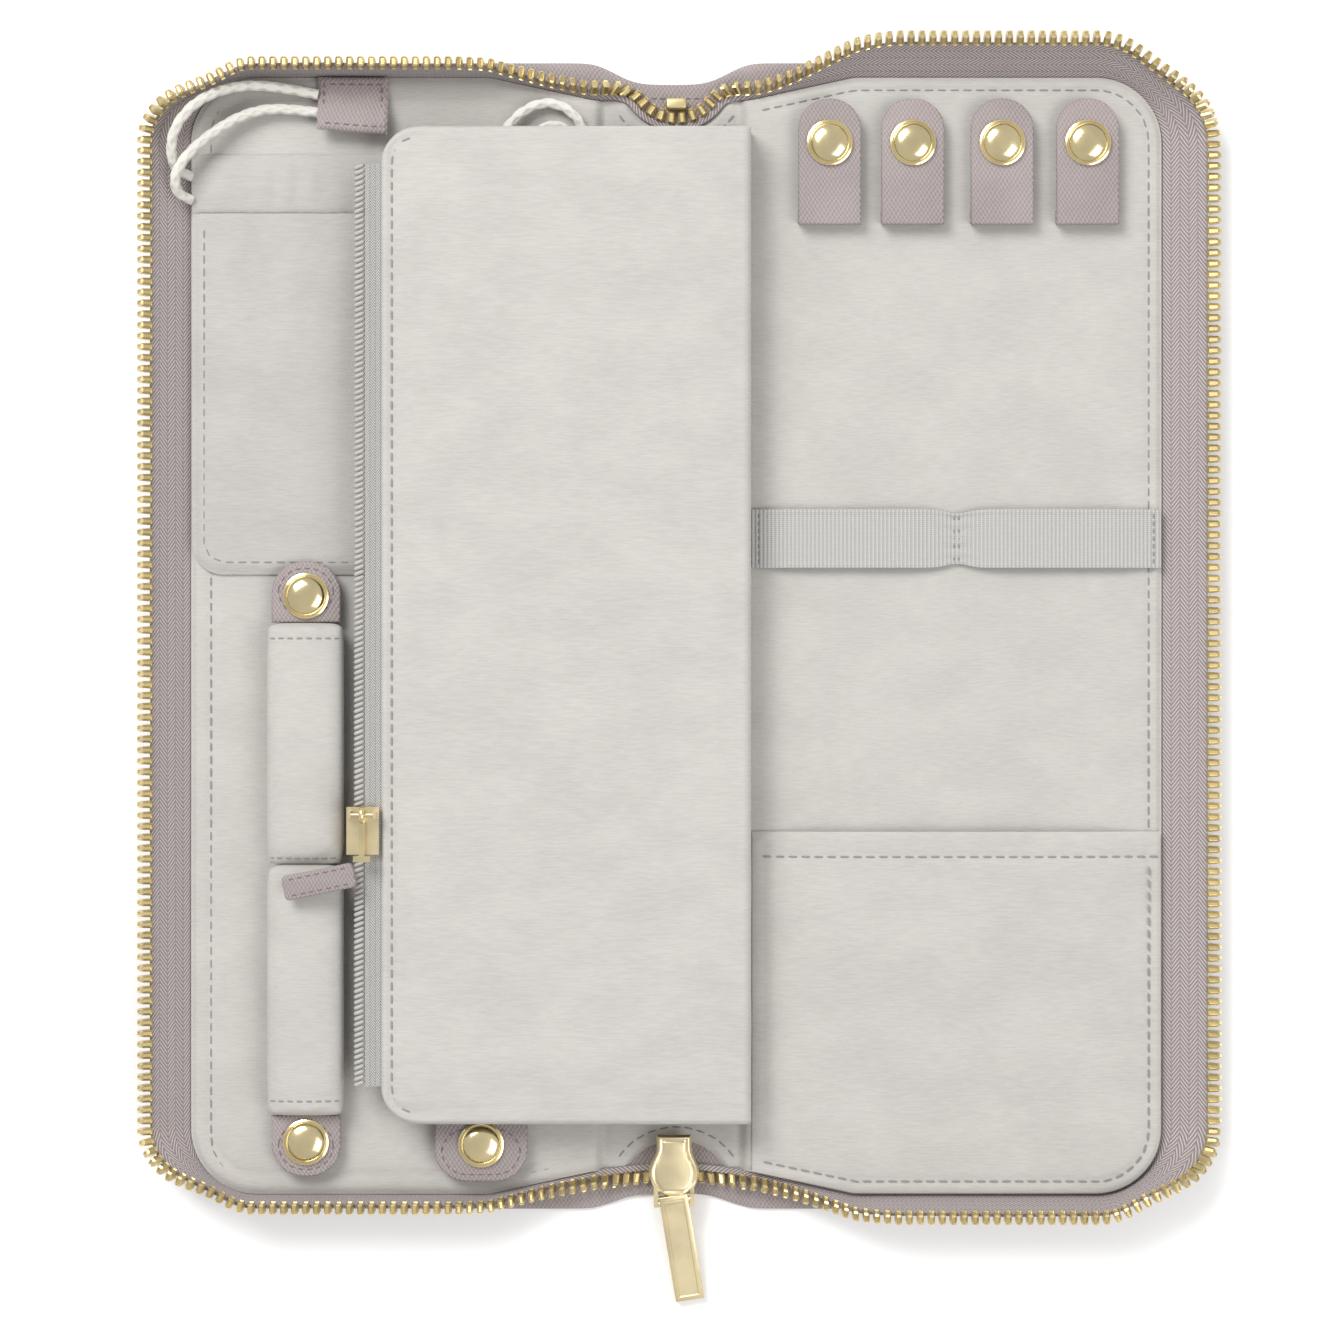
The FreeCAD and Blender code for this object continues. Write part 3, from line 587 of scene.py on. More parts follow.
def finish_modifier(piece: bpy.types.Object, kind: str, **settings: object) -> None:
    """Adds a modifier to a piece and applies it.

    Args:
        piece: the piece.
        kind: the modifier's type.
        settings: the modifier's own values.
    """
    made = piece.modifiers.new(kind.lower(), kind)
    for key, value in settings.items():
        setattr(made, key, value)
    clear()
    piece.select_set(True)
    bpy.context.view_layer.objects.active = piece
    bpy.ops.object.modifier_apply(modifier=made.name)


def select_faces(piece: bpy.types.Object, wanted: Callable[[bpy.types.MeshPolygon], bool]) -> None:
    """Selects just the faces that are wanted and leaves the piece in edit mode.

    Args:
        piece: the piece.
        wanted: tells whether a face is selected.
    """
    clear()
    piece.select_set(True)
    bpy.context.view_layer.objects.active = piece
    bpy.ops.object.mode_set(mode="EDIT")
    bpy.ops.mesh.select_mode(type="FACE")
    bpy.ops.mesh.select_all(action="DESELECT")
    bpy.ops.object.mode_set(mode="OBJECT")
    for face in piece.data.polygons:
        face.select = wanted(face)
    bpy.ops.object.mode_set(mode="EDIT")


def outward(piece: bpy.types.Object) -> None:
    """Turns every face of a closed piece outwards.

    Args:
        piece: a closed piece.
    """
    clear()
    piece.select_set(True)
    bpy.context.view_layer.objects.active = piece
    bpy.ops.object.mode_set(mode="EDIT")
    bpy.ops.mesh.select_all(action="SELECT")
    bpy.ops.mesh.normals_make_consistent(inside=False)
    bpy.ops.object.mode_set(mode="OBJECT")


def dress(piece: bpy.types.Object, material: bpy.types.Material, slot: str, body: str | None = None,
          replaces: tuple[str, ...] = (), sharp: float = 50.0) -> bpy.types.Object:
    """Finishes a piece.

    Args:
        piece: the piece, in its place.
        material: its finish.
        slot: the record's material slot; not used.
        body: the body it rides on, or None for a piece that is not attached to one.
        replaces: CAD nodes it stands for.
        sharp: degrees from which an edge is shaded sharp.

    Returns:
        The piece.
    """
    clear()
    piece.select_set(True)
    bpy.context.view_layer.objects.active = piece
    bpy.ops.object.transform_apply(location=True, rotation=True, scale=True)
    bpy.ops.object.shade_smooth_by_angle(angle=radians(sharp))
    piece.data.materials.clear()
    piece.data.materials.append(material)
    if body:
        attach(piece, body)
    if replaces:
        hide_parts(*replaces)
    return piece


def shell(name: str, across: int, along: int, top: Callable[[float, float], Point],
          bottom: Callable[[float, float], Point],
          weave: Callable[[float, float], tuple[float, float]] | None = None) -> bpy.types.Object:
    """A closed soft shell between two surfaces.

    Args:
        name: the piece's name.
        across: grid steps along u.
        along: grid steps along v.
        top: upper surface over u and v from 0 to 1, in millimetres.
        bottom: lower surface, likewise.
        weave: millimetres along and across the cloth, for its weave map.

    Returns:
        The piece.
    """
    clear()
    bpy.ops.mesh.primitive_grid_add(x_subdivisions=across, y_subdivisions=along, size=1)
    piece = bpy.context.object
    piece.name = piece.data.name = name
    spots = [(v.co.x + 0.5, v.co.y + 0.5) for v in piece.data.vertices]
    if weave:
        layer = piece.data.uv_layers.active or piece.data.uv_layers.new()
        layer.name = WEAVE
        for loop in piece.data.loops:
            layer.data[loop.index].uv = weave(*spots[loop.vertex_index])
    finish_modifier(piece, "SOLIDIFY", thickness=0.01, offset=-1)
    for i, vertex in enumerate(piece.data.vertices):
        upper = i < len(spots)
        place = top if upper else bottom
        vertex.co = Vector(place(*spots[i % len(spots)])) * MM
    outward(piece)
    return piece


@dataclass(frozen=True)
class Filling:
    """A short cloth simulation that swells a padded piece like its stuffing does."""

    voxel: float = 1.5
    pressure: float = 4.0
    steps: int = 20
    most: float = 0.45

    def swell(self, piece: bpy.types.Object) -> None:
        """Remeshes a closed piece, swells it under pressure and keeps each point near its start.

        Args:
            piece: a closed piece, a little smaller than it ends up.
        """
        finish_modifier(piece, "REMESH", mode="VOXEL", voxel_size=self.voxel * MM)
        start = [v.co.copy() for v in piece.data.vertices]
        made = piece.modifiers.new("cloth", "CLOTH")
        made.settings.use_pressure = True
        made.settings.uniform_pressure_force = self.pressure
        made.settings.effector_weights.gravity = 0
        made.settings.quality = 6
        made.point_cache.frame_start = 1
        made.point_cache.frame_end = self.steps
        for step in range(1, self.steps + 1):
            bpy.context.scene.frame_set(step)
        clear()
        piece.select_set(True)
        bpy.context.view_layer.objects.active = piece
        bpy.ops.object.modifier_apply(modifier=made.name)
        bpy.context.scene.frame_set(1)
        for vertex, before in zip(piece.data.vertices, start):
            move = vertex.co - before
            if move.length > self.most * MM:
                vertex.co = before + move.normalized() * self.most * MM
        finish_modifier(piece, "SUBSURF", levels=1, render_levels=1)


def slab(name: str, low: Point, high: Point, corner: float, edge: float,
         corners: Callable[[float, float], bool] = lambda x, y: True, unit: float = MM) -> bpy.types.Object:
    """A soft-edged slab: a block whose upright edges and then its rims are rounded.

    Args:
        name: the piece's name.
        low: lowest corner in millimetres.
        high: highest corner.
        corner: radius of its upright edges.
        edge: radius of its rims.
        corners: which upright edges are rounded, by their x and y.
        unit: metres in a millimetre, or 1 for a seed that stays in millimetres.

    Returns:
        The piece.
    """
    clear()
    middle = [(a + b) / 2 * unit for a, b in zip(low, high)]
    size = [(b - a) * unit for a, b in zip(low, high)]
    bpy.ops.mesh.primitive_cube_add(size=1, location=middle, scale=size)
    piece = bpy.context.object
    piece.name = piece.data.name = name
    bpy.ops.object.transform_apply(location=True, rotation=True, scale=True)
    mesh = piece.data
    for group in (mesh.vertices, mesh.edges, mesh.polygons):
        for item in group:
            item.select = False
    for item in mesh.edges:
        a, b = (mesh.vertices[i].co for i in item.vertices)
        upright = abs(a.x - b.x) + abs(a.y - b.y) < 1e-7
        if upright and corners(a.x / unit, a.y / unit):
            item.select = True
    bpy.ops.object.mode_set(mode="EDIT")
    bpy.ops.mesh.select_mode(type="EDGE")
    if corner:
        bpy.ops.mesh.bevel(offset=corner * unit, segments=9, affect="EDGES")
    bpy.ops.object.mode_set(mode="OBJECT")
    select_faces(piece, lambda face: abs(face.normal.z) > 0.99)
    bpy.ops.mesh.region_to_loop()
    bpy.ops.mesh.bevel(offset=edge * unit, segments=3, affect="EDGES")
    bpy.ops.object.mode_set(mode="OBJECT")
    return piece


def repeat(name: str, seed: bpy.types.Object, places: list[Matrix]) -> bpy.types.Object:
    """Copies a seed to many places and joins the copies.

    Args:
        name: the joined piece's name.
        seed: the shape that repeats, at the origin in millimetres. It is removed.
        places: one matrix per copy, in millimetres.

    Returns:
        The joined piece.
    """
    corners = [v.co.copy() for v in seed.data.vertices]
    faces = [tuple(f.vertices) for f in seed.data.polygons]
    points, joined = [], []
    for place in places:
        start = len(points)
        points += [place @ c * MM for c in corners]
        joined += [tuple(start + i for i in face) for face in faces]
    bpy.data.objects.remove(seed)
    mesh = bpy.data.meshes.new(name)
    mesh.from_pydata(points, [], joined)
    piece = bpy.data.objects.new(name, mesh)
    bpy.context.scene.collection.objects.link(piece)
    return piece


def frame_at(place: Vector, along: Vector, up: Vector) -> Matrix:
    """A matrix whose x axis runs along a direction and whose z axis leans to another.

    Args:
        place: its origin.
        along: direction of x.
        up: direction that z leans to.

    Returns:
        The matrix.
    """
    x = along.normalized()
    y = up.cross(x).normalized()
    z = x.cross(y)
    return Matrix.Translation(place) @ Matrix((x, y, z)).transposed().to_4x4()


def walk(points: list[Point], pitch: float, inset: float = 0.5) -> list[tuple[Vector, Vector]]:
    """Places at an even pitch along a line.

    Args:
        points: corners of the line in millimetres.
        pitch: distance between places.
        inset: share of a pitch before the first place.

    Returns:
        Position and direction at each place.
    """
    spots = [Vector(p) for p in points]
    total = sum((b - a).length for a, b in zip(spots, spots[1:]))
    count = max(round(total / pitch), 1)
    step, due, run, found = total / count, total / count * inset, 0.0, []
    for a, b in zip(spots, spots[1:]):
        length = (b - a).length
        while due <= run + length + 1e-9 and length > 0 and len(found) < count:
            found.append((a.lerp(b, (due - run) / length), (b - a) / length))
            due += step
        run += length
    return found


def bead(length: float, width: float, height: float, sides: int = 6) -> bpy.types.Object:
    """One rounded grain lying along x at the origin, in millimetres, for stitches, teeth and coils.

    Args:
        length: size along x.
        width: size along y.
        height: size along z.
        sides: sides round it.

    Returns:
        The grain.
    """
    clear()
    bpy.ops.mesh.primitive_uv_sphere_add(segments=sides, ring_count=5, radius=0.5)
    piece = bpy.context.object
    for vertex in piece.data.vertices:
        x, y, z = vertex.co * 2
        grow = abs(z) ** 0.55 * (1 if z > 0 else -1)
        vertex.co = (grow * length / 2, y * width / 2, x * height / 2)
    return piece


@dataclass
class Stitches:
    """Rows of thread on one body: a short thread every pitch, each end sunk into the cloth."""

    name: str
    body: str | None
    material: bpy.types.Material
    slot: str
    pitch: float = 2.7
    length: float = 1.9
    width: float = 0.42
    rows: list[list[Point]] = field(default_factory=list)

    def make(self) -> bpy.types.Object:
        """Builds and dresses all rows as one piece.

        Returns:
            The joined stitches.
        """
        places = [frame_at(spot, way, Vector((0, 0, 1)))
                  for row in self.rows for spot, way in walk(row, self.pitch)]
        piece = repeat(self.name, bead(self.length, self.width, self.width * 0.8), places)
        return dress(piece, self.material, self.slot, self.body)


def rounded(low_x: float, high_x: float, low_y: float, high_y: float, z: float, radius: float) -> list[Point]:
    """A closed rounded rectangle as a line of points, for a row of stitches.

    Args:
        low_x: left side.
        high_x: right side.
        low_y: lower side.
        high_y: upper side.
        z: height of the line.
        radius: corner radius.

    Returns:
        The points, the first repeated at the end.
    """
    line = []
    for cx, cy, start in ((high_x - radius, high_y - radius, 0), (low_x + radius, high_y - radius, 1),
                          (low_x + radius, low_y + radius, 2), (high_x - radius, low_y + radius, 3)):
        for step in range(7):
            turn = (start + step / 6) * pi / 2
            line.append((cx + radius * cos(turn), cy + radius * sin(turn), z))
    return line + [line[0]]


# ================================================================ covers and spine
@dataclass
class Cover:
    """One cover with its half of the spine: leather, lining and half of the zip."""

    side: int
    body: str
    fold_x: float
    edge_x: float
    reaches: tuple[float, float, float]
    wardrobe: Wardrobe
    half_height: float = 122.0
    leather_corner: float = 18.0
    lining_half_y: float = 118.6
    lining_corner: float = 14.0
    lining_inset: float = 1.9
    setback: float = 2.2
    shoulder_run: float = 22.0
    shoulder_drop: float = 4.8
    lining_z: float = 3.4
    spine_lining_z: float = 1.8
    notch_x: float = 0.5
    notch_y: float = 119.5
    notch_radius: float = 12.2
    notch_stitch: float = 15.0
    top_hollow: float = 4.6
    foot_hollow: float = 3.2
    stitch_inset: float = 2.8
    stitch_end: float = 2.7
    rim_start: float = 4.0
    tape_width: float = 9.6
    tape_base: float = 1.6
    teeth_width: float = 2.8
    tooth_pitch: float = 2.3
    fold_half: float = 2.5

    @property
    def name(self) -> str:
        """The cover's name."""
        return "right" if self.side > 0 else "left"

    @property
    def lining_edge(self) -> float:
        """The lining's free side."""
        return self.edge_x - self.side * self.lining_inset

    def blend(self, piece: bpy.types.Object) -> None:
        """Bakes a piece's placement into its mesh."""
        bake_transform(piece)

    def leather_end(self, x: float, top: bool) -> float:
        """Height of the leather's end edge over a place between the spine and the free side.

        Args:
            x: place across the case.
            top: True for the upper end.

        Returns:
            The edge's y.
        """
        limit = self.half_height
        bend = abs(self.edge_x) - self.leather_corner
        if abs(x) > bend:
            limit += sqrt(max(self.leather_corner ** 2 - (abs(x) - bend) ** 2, 0)) - self.leather_corner
        hollow = exp(-((x + 0.5) / 13.0) ** 4)
        return limit - self.top_hollow * hollow if top else self.foot_hollow * hollow - limit

    def leather_point(self, u: float, v: float, z: float) -> Point:
        """A point of the leather.

        Args:
            u: share of the way across, from 0 to 1.
            v: share of the way along, from 0 to 1.
            z: height before creases and rims.

        Returns:
            The point in millimetres.
        """
        bend = abs(self.edge_x) - self.leather_corner
        split = 0.72
        if u < split:
            x = bend * u / split
        else:
            x = bend + self.leather_corner * sin(pi / 2 * (u - split) / (1 - split))
        x *= self.side
        low, high = self.leather_end(x, False), self.leather_end(x, True)
        flare = 0.5 - 0.5 * cos(pi * v)
        y = low + (high - low) * (v * 0.5 + flare * 0.5)
        gap = min(y - low, high - y, abs(self.edge_x - x))
        crease = 0.45 * exp(-((x - self.fold_x) / 1.0) ** 2)
        rim = 0.35 * (1 - ease(gap / 0.8))
        return (x, y, z - (crease + rim if z > 0.5 else -rim * 0.6))

    def leather(self) -> bpy.types.Object:
        """The outer leather, from the middle of the spine to the free side.

        Returns:
            The piece.
        """
        piece = shell(f"{self.name}_outer_leather", 84, 150, lambda u, v: self.leather_point(u, v, 1.0),
                      lambda u, v: self.leather_point(u, v, 0.0))
        extra = ("spine_leather",) if self.side > 0 else ()
        dress(piece, self.wardrobe.leather, "mauve_leather", None, (f"{self.name}_cover_leather",) + extra)
        self.blend(piece)
        return piece

    def lining_end(self, x: float) -> float:
        """Distance of the lining's end edge from the middle of the case over a place.

        Args:
            x: place across the case.

        Returns:
            The distance in millimetres.
        """
        low = self.lining_half_y - self.shoulder_drop
        reach = abs(x - self.fold_x) if abs(x) > abs(self.fold_x) else 0.0
        bend = abs(self.lining_edge) - self.lining_corner
        end = low + self.shoulder_drop * min(max(reach - self.setback, 0) / self.shoulder_run, 1.0)
        if abs(x) > bend:
            end += sqrt(max(self.lining_corner ** 2 - (abs(x) - bend) ** 2, 0)) - self.lining_corner
        from_notch = abs(x - self.notch_x)
        if from_notch < self.notch_radius:
            end = min(end, self.notch_y - sqrt(self.notch_radius ** 2 - from_notch ** 2))
        return end

    def lining_spot(self, u: float, v: float) -> tuple[float, float, float]:
        """Place and distance to the free edge of a point of the lining.

        Args:
            u: share of the way across, from 0 to 1.
            v: share of the way along, from 0 to 1.

        Returns:
            The x, the y and the distance to the edge.
        """
        bend = abs(self.lining_edge) - self.lining_corner
        near = abs(self.fold_x) + self.setback
        if u < 0.24:
            x = near * u / 0.24
        elif u < 0.78:
            x = near + (bend - near) * (u - 0.24) / 0.54
        else:
            x = bend + self.lining_corner * sin(pi / 2 * (u - 0.78) / 0.22)
        x *= self.side
        end = self.lining_end(x)
        y = end * sin(pi / 2 * (2 * v - 1)) * 0.45 + end * (2 * v - 1) * 0.55
        gap = min(end - abs(y), abs(self.lining_edge - x))
        corner = Vector((abs(x) - bend, abs(y) - (self.lining_half_y - self.lining_corner)))
        if corner.x > 0 and corner.y > 0:
            gap = min(gap, self.lining_corner - corner.length)
        return x, y, gap

    def lining_height(self, x: float, y: float, gap: float) -> float:
        """Height of the lining's pile: puffed panel, sewn border, crease at the fold.

        Args:
            x: place across the case.
            y: place along it.
            gap: distance to the free edge.

        Returns:
            The height in millimetres.
        """
        level = self.spine_lining_z + (self.lining_z - self.spine_lining_z) * ease(
            (self.side * (x - self.fold_x) + 0.8) / 3.0)
        sewn = 0.32 * exp(-((gap - self.stitch_inset) / 0.8) ** 2) if abs(x) > abs(self.fold_x) + 5 else 0.0
        crease = 0.55 * exp(-((x - self.fold_x) / 0.9) ** 2)
        rim = 0.75 * (1 - ease(gap / 1.5))
        drift = 0.16 * noise.noise(Vector((x * 0.035, y * 0.03, self.side)))
        return level - 0.06 - sewn - crease - rim + min(drift, 0.05)

    def lining(self) -> bpy.types.Object:
        """The padded lining, from the middle of the spine to the free side.

        Returns:
            The piece.
        """

        def top(u: float, v: float) -> Point:
            """Upper surface."""
            x, y, gap = self.lining_spot(u, v)
            return (x, y, self.lining_height(x, y, gap))

        def bottom(u: float, v: float) -> Point:
            """Lower surface."""
            x, y, _ = self.lining_spot(u, v)
            return (x, y, 1.02 if abs(x - self.fold_x) > 1.5 else 0.95)

        piece = shell(f"{self.name}_lining_panel", 110, 190, top, bottom)
        extra = ("spine_lining",) if self.side > 0 else ()
        dress(piece, self.wardrobe.lining, "grey_lining", None, (f"{self.name}_lining",) + extra)
        self.blend(piece)
        return piece

    def border_stitches(self) -> None:
        """The sewn border of the lining and the row on the outer leather."""
        inner = abs(self.fold_x) + 4.1
        edge = abs(self.lining_edge) - self.stitch_inset
        radius = self.lining_corner - self.stitch_inset
        z = self.lining_z - 0.3
        upper = [(x, self.lining_end(x * self.side) - self.stitch_end)
                 for x in ladder(inner, (edge - radius, 24))]
        top = self.lining_half_y - self.stitch_end
        upper += [(edge - radius + radius * sin(pi / 2 * i / 8), top - radius + radius * cos(pi / 2 * i / 8))
                  for i in range(1, 9)]
        line = upper + [(x, -y) for x, y in reversed(upper)]
        row = [(x * self.side, y, z) for x, y in line + line[:1]]
        Stitches(f"{self.name}_lining_stitches", self.body, self.wardrobe.lining_thread, "grey_lining",
                 rows=[row]).make()
        notch = []
        for end in (1, -1):
            turns = [radians(-56 + 8 * i) for i in range(15)]
            notch.append([(self.notch_x + self.notch_stitch * sin(t),
                           end * (self.notch_y - self.notch_stitch * cos(t)), self.spine_lining_z) for t in turns])
        if self.side > 0:
            Stitches("notch_stitches", "spine", self.wardrobe.lining_thread, "grey_lining", rows=notch).make()
            hem = [(-7.0, self.half_height - 7.6, 1.02), (7.5, self.half_height - 7.6, 1.02)]
            Stitches("spine_leather_stitches", "spine", self.wardrobe.leather_thread, "mauve_leather", 1.9, 1.25,
                     0.34, [hem]).make()

    # ------------------------------------------------------------ zip
    def cover_station(self, t: float) -> tuple[Point, Point]:
        """Sewn edge of the tape and its outward normal, for t from 0 at the top fold to 1 at mid height.

        Args:
            t: share of the way from the top fold to mid height.

        Returns:
            The place and its outward normal.
        """
        start = abs(self.fold_x) + self.rim_start
        edge = abs(self.lining_edge)
        bend_x = edge - self.lining_corner
        bend_y = self.lining_half_y - self.lining_corner
        flat, arc, down = bend_x - start, self.lining_corner * pi / 2, bend_y
        run = t * (flat + arc + down)
        if run < flat:
            x = start + run
            shoulder = abs(self.fold_x) + self.setback + self.shoulder_run
            fall = max(shoulder - x, 0) * self.shoulder_drop / self.shoulder_run
            return (x, self.lining_half_y - fall, 0), (0, 1, 0)
        if run < flat + arc:
            turn = (run - flat) / self.lining_corner
            return ((bend_x + self.lining_corner * sin(turn), bend_y + self.lining_corner * cos(turn), 0),
                    (sin(turn), cos(turn), 0))
        return (edge, bend_y - (run - flat - arc), 0), (1, 0, 0)

    def lean(self, spot: Point, normal: Point) -> tuple[Vector, Vector, float]:
        """Sewn edge, direction up the tape and width at a place of the cover's rim.

        Args:
            spot: a place on the sewn edge.
            normal: its outward normal.

        Returns:
            Sewn edge, direction up the tape and width.
        """
        x, y, _ = spot
        nx, ny, _ = normal
        side_reach, top_reach, bottom_reach = self.reaches
        end_reach = top_reach if ny > 0 else bottom_reach
        full = side_reach * nx ** 2 + end_reach * ny ** 2 - 3.0 * (2 * nx * ny) ** 2
        lift = ease((x - abs(self.fold_x) - self.rim_start) / 30.0)
        width = self.tape_base + (self.tape_width - self.tape_base) * lift
        reach = 1.0 + (full - 1.0) * lift
        rise = sqrt(width ** 2 - reach ** 2)
        up = Vector((nx * reach, ny * reach, rise)).normalized()
        across = Vector((nx, ny, 0)) - up * Vector((nx, ny, 0)).dot(up)
        base = Vector((x + nx * 0.3, y + ny * 0.3, 1.1 - min(across.normalized().z, 0) * 0.7))
        return base, up, width

    def rim(self) -> list[tuple[Vector, Vector, float]]:
        """The whole tape of this cover, from the top notch round to the slider, every few millimetres.

        Returns:
            Sewn edge, direction up the tape and width at each place.
        """
        count = 120
        upper = []
        for step in range(count + 1):
            (x, y, _), normal = self.cover_station(step / count)
            upper.append(self.lean((x, y, 0), normal))
        lower = []
        for step in range(count):
            (x, y, _), (nx, ny, _) = self.cover_station(step / count)
            lower.append(self.lean((x, -y, 0), (nx, -ny, 0)))
        line = self.top_notch(upper[0]) + upper + list(reversed(lower)) + self.slider_run(lower[0])
        turned = []
        for base, up, width in line:
            turned.append((Vector((base.x * self.side, base.y, base.z)),
                           Vector((up.x * self.side, up.y, up.z)), width))
        return turned

    def top_notch(self, first: tuple[Vector, Vector, float]) -> list[tuple[Vector, Vector, float]]:
        """The tape round the top notch, from its middle up to the cover's first place.

        Args:
            first: the cover's first place.

        Returns:
            Sewn edge, direction up the tape and width at each place.
        """
        line = []
        middle = self.notch_x * self.side
        for step in range(12):
            turn = radians(54) * step / 11
            out = Vector((sin(turn), -cos(turn), 0))
            line.append((Vector((middle, self.notch_y, 1.4)) + out * 12.0, -out, 1.3))
        return line + self.bridge(line[-1], Vector((0.62, 0.78, 0)), first, Vector((1, 0.2, 0)))

    def slider_run(self, last: tuple[Vector, Vector, float]) -> list[tuple[Vector, Vector, float]]:
        """The tape from the cover's last place into the slider."""
        mouth = (Vector((4.2, -112.2, 1.5)), Vector((0.15, -1, 0)).normalized(), 1.3)
        return self.bridge(last, Vector((-1, 0.25, 0)), mouth, Vector((-1, 0.1, 0)))

    def bridge(self, first: tuple[Vector, Vector, float], leave: Vector, last: tuple[Vector, Vector, float],
               arrive: Vector) -> list[tuple[Vector, Vector, float]]:
        """Tape between two places, smooth in line, lean and width.

        Args:
            first: where it starts.
            leave: direction it starts in.
            last: where it ends.
            arrive: direction it ends in.

        Returns:
            Sewn edge, direction up the tape and width at each place.
        """
        span = (last[0] - first[0]).length
        line = []
        for step in range(1, 10):
            t = step / 10
            a, b = 2 * t ** 3 - 3 * t ** 2 + 1, t ** 3 - 2 * t ** 2 + t
            c, d = 3 * t ** 2 - 2 * t ** 3, t ** 3 - t ** 2
            base = first[0] * a + leave * span * b + last[0] * c + arrive * span * d
            up = first[1].lerp(last[1], ease(t)).normalized()
            line.append((base, up, first[2] + (last[2] - first[2]) * ease(t)))
        return line + ([last] if leave.x < 0 else [])

    def zip(self) -> None:
        """The cover's tape and its row of teeth."""
        line = self.rim()
        runs = [0.0]
        for a, b in zip_pairs(line):
            runs.append(runs[-1] + (b[0] - a[0]).length)
        last = len(line) - 1
        rows = 6

        def point(u: float, v: float, lift: float) -> Point:
            """A point of the tape, lift millimetres off its middle.

            Args:
                u: share of the way up the tape.
                v: share of the way along it.
                lift: millimetres off the tape's middle.

            Returns:
                The point in millimetres.
            """
            i = round(v * last)
            base, up, width = line[i]
            before, after = line[max(i - 1, 0)], line[min(i + 1, last)]
            way = (after[0] - before[0]).normalized()
            out = up.cross(way).normalized()
            wavy = 0.12 * sin(runs[i] / 7.0) * u
            return tuple(base + up * (width * u) + out * (lift + wavy))

        tape = shell(f"{self.name}_zip_tape_cloth", rows, last, lambda u, v: point(u, v, 0.33),
                     lambda u, v: point(u, v, -0.33),
                     lambda u, v: (runs[round(v * last)], u * line[round(v * last)][2]))
        extra = ("spine_tape_top", "spine_tape_bottom") if self.side > 0 else ()
        dress(tape, self.wardrobe.tape, "mauve_tape", None, (f"{self.name}_zip_tape",) + extra)
        self.blend(tape)
        self.teeth(line)

    def teeth(self, line: list[tuple[Vector, Vector, float]]) -> None:
        """The row of teeth along the tape's free edge, each a small two-lobed casting.

        Args:
            line: the tape's places.
        """
        crest = [tuple(base + up * (width + self.teeth_width / 2)) for base, up, width in line]
        places = []
        for spot, way in walk(crest, self.tooth_pitch):
            near = min(line, key=lambda s: (s[0] + s[1] * (s[2] + self.teeth_width / 2) - spot).length_squared)
            turned = Matrix((way, near[1], way.cross(near[1]).normalized())).transposed().to_4x4()
            places.append(Matrix.Translation(spot) @ turned)
        piece = repeat(f"{self.name}_zip_teeth_row", self.tooth(), places)
        extra = ("spine_teeth_top", "spine_teeth_bottom") if self.side > 0 else ()
        dress(piece, self.wardrobe.teeth, "gold_metal", None, (f"{self.name}_zip_teeth",) + extra, 30)
        self.blend(piece)

    def tooth(self) -> bpy.types.Object:
        """One tooth at the origin: x along the row, y up the tape, z through it.

        Returns:
            The tooth, in millimetres.
        """
        clear()
        bpy.ops.mesh.primitive_cube_add(size=1, scale=(1.62, self.teeth_width, 2.3))
        piece = bpy.context.object
        bpy.ops.object.transform_apply(scale=True)
        bpy.ops.object.mode_set(mode="EDIT")
        bpy.ops.mesh.select_all(action="SELECT")
        bpy.ops.mesh.bevel(offset=0.34, segments=1, affect="EDGES")
        bpy.ops.object.mode_set(mode="OBJECT")
        select_faces(piece, lambda face: abs(face.normal.z) > 0.99 or face.normal.y > 0.99)
        bpy.ops.mesh.inset(thickness=0.16, depth=-0.28, use_individual=True)
        bpy.ops.object.mode_set(mode="OBJECT")
        for vertex in piece.data.vertices:
            if vertex.co.y > 0.9:
                vertex.co.x *= 0.84
        return piece


def zip_pairs(line: list) -> list[tuple]:
    """Neighbouring pairs of a line."""
    return list(zip(line, line[1:]))


def moved(piece: bpy.types.Object, place: Matrix) -> bpy.types.Object:
    """Carries a piece made about the origin to its place, given as a matrix in millimetres.

    Args:
        piece: the piece.
        place: where it goes.

    Returns:
        The piece.
    """
    metres = Matrix.Translation(place.translation * MM) @ place.to_3x3().to_4x4()
    piece.data.transform(metres)
    return piece


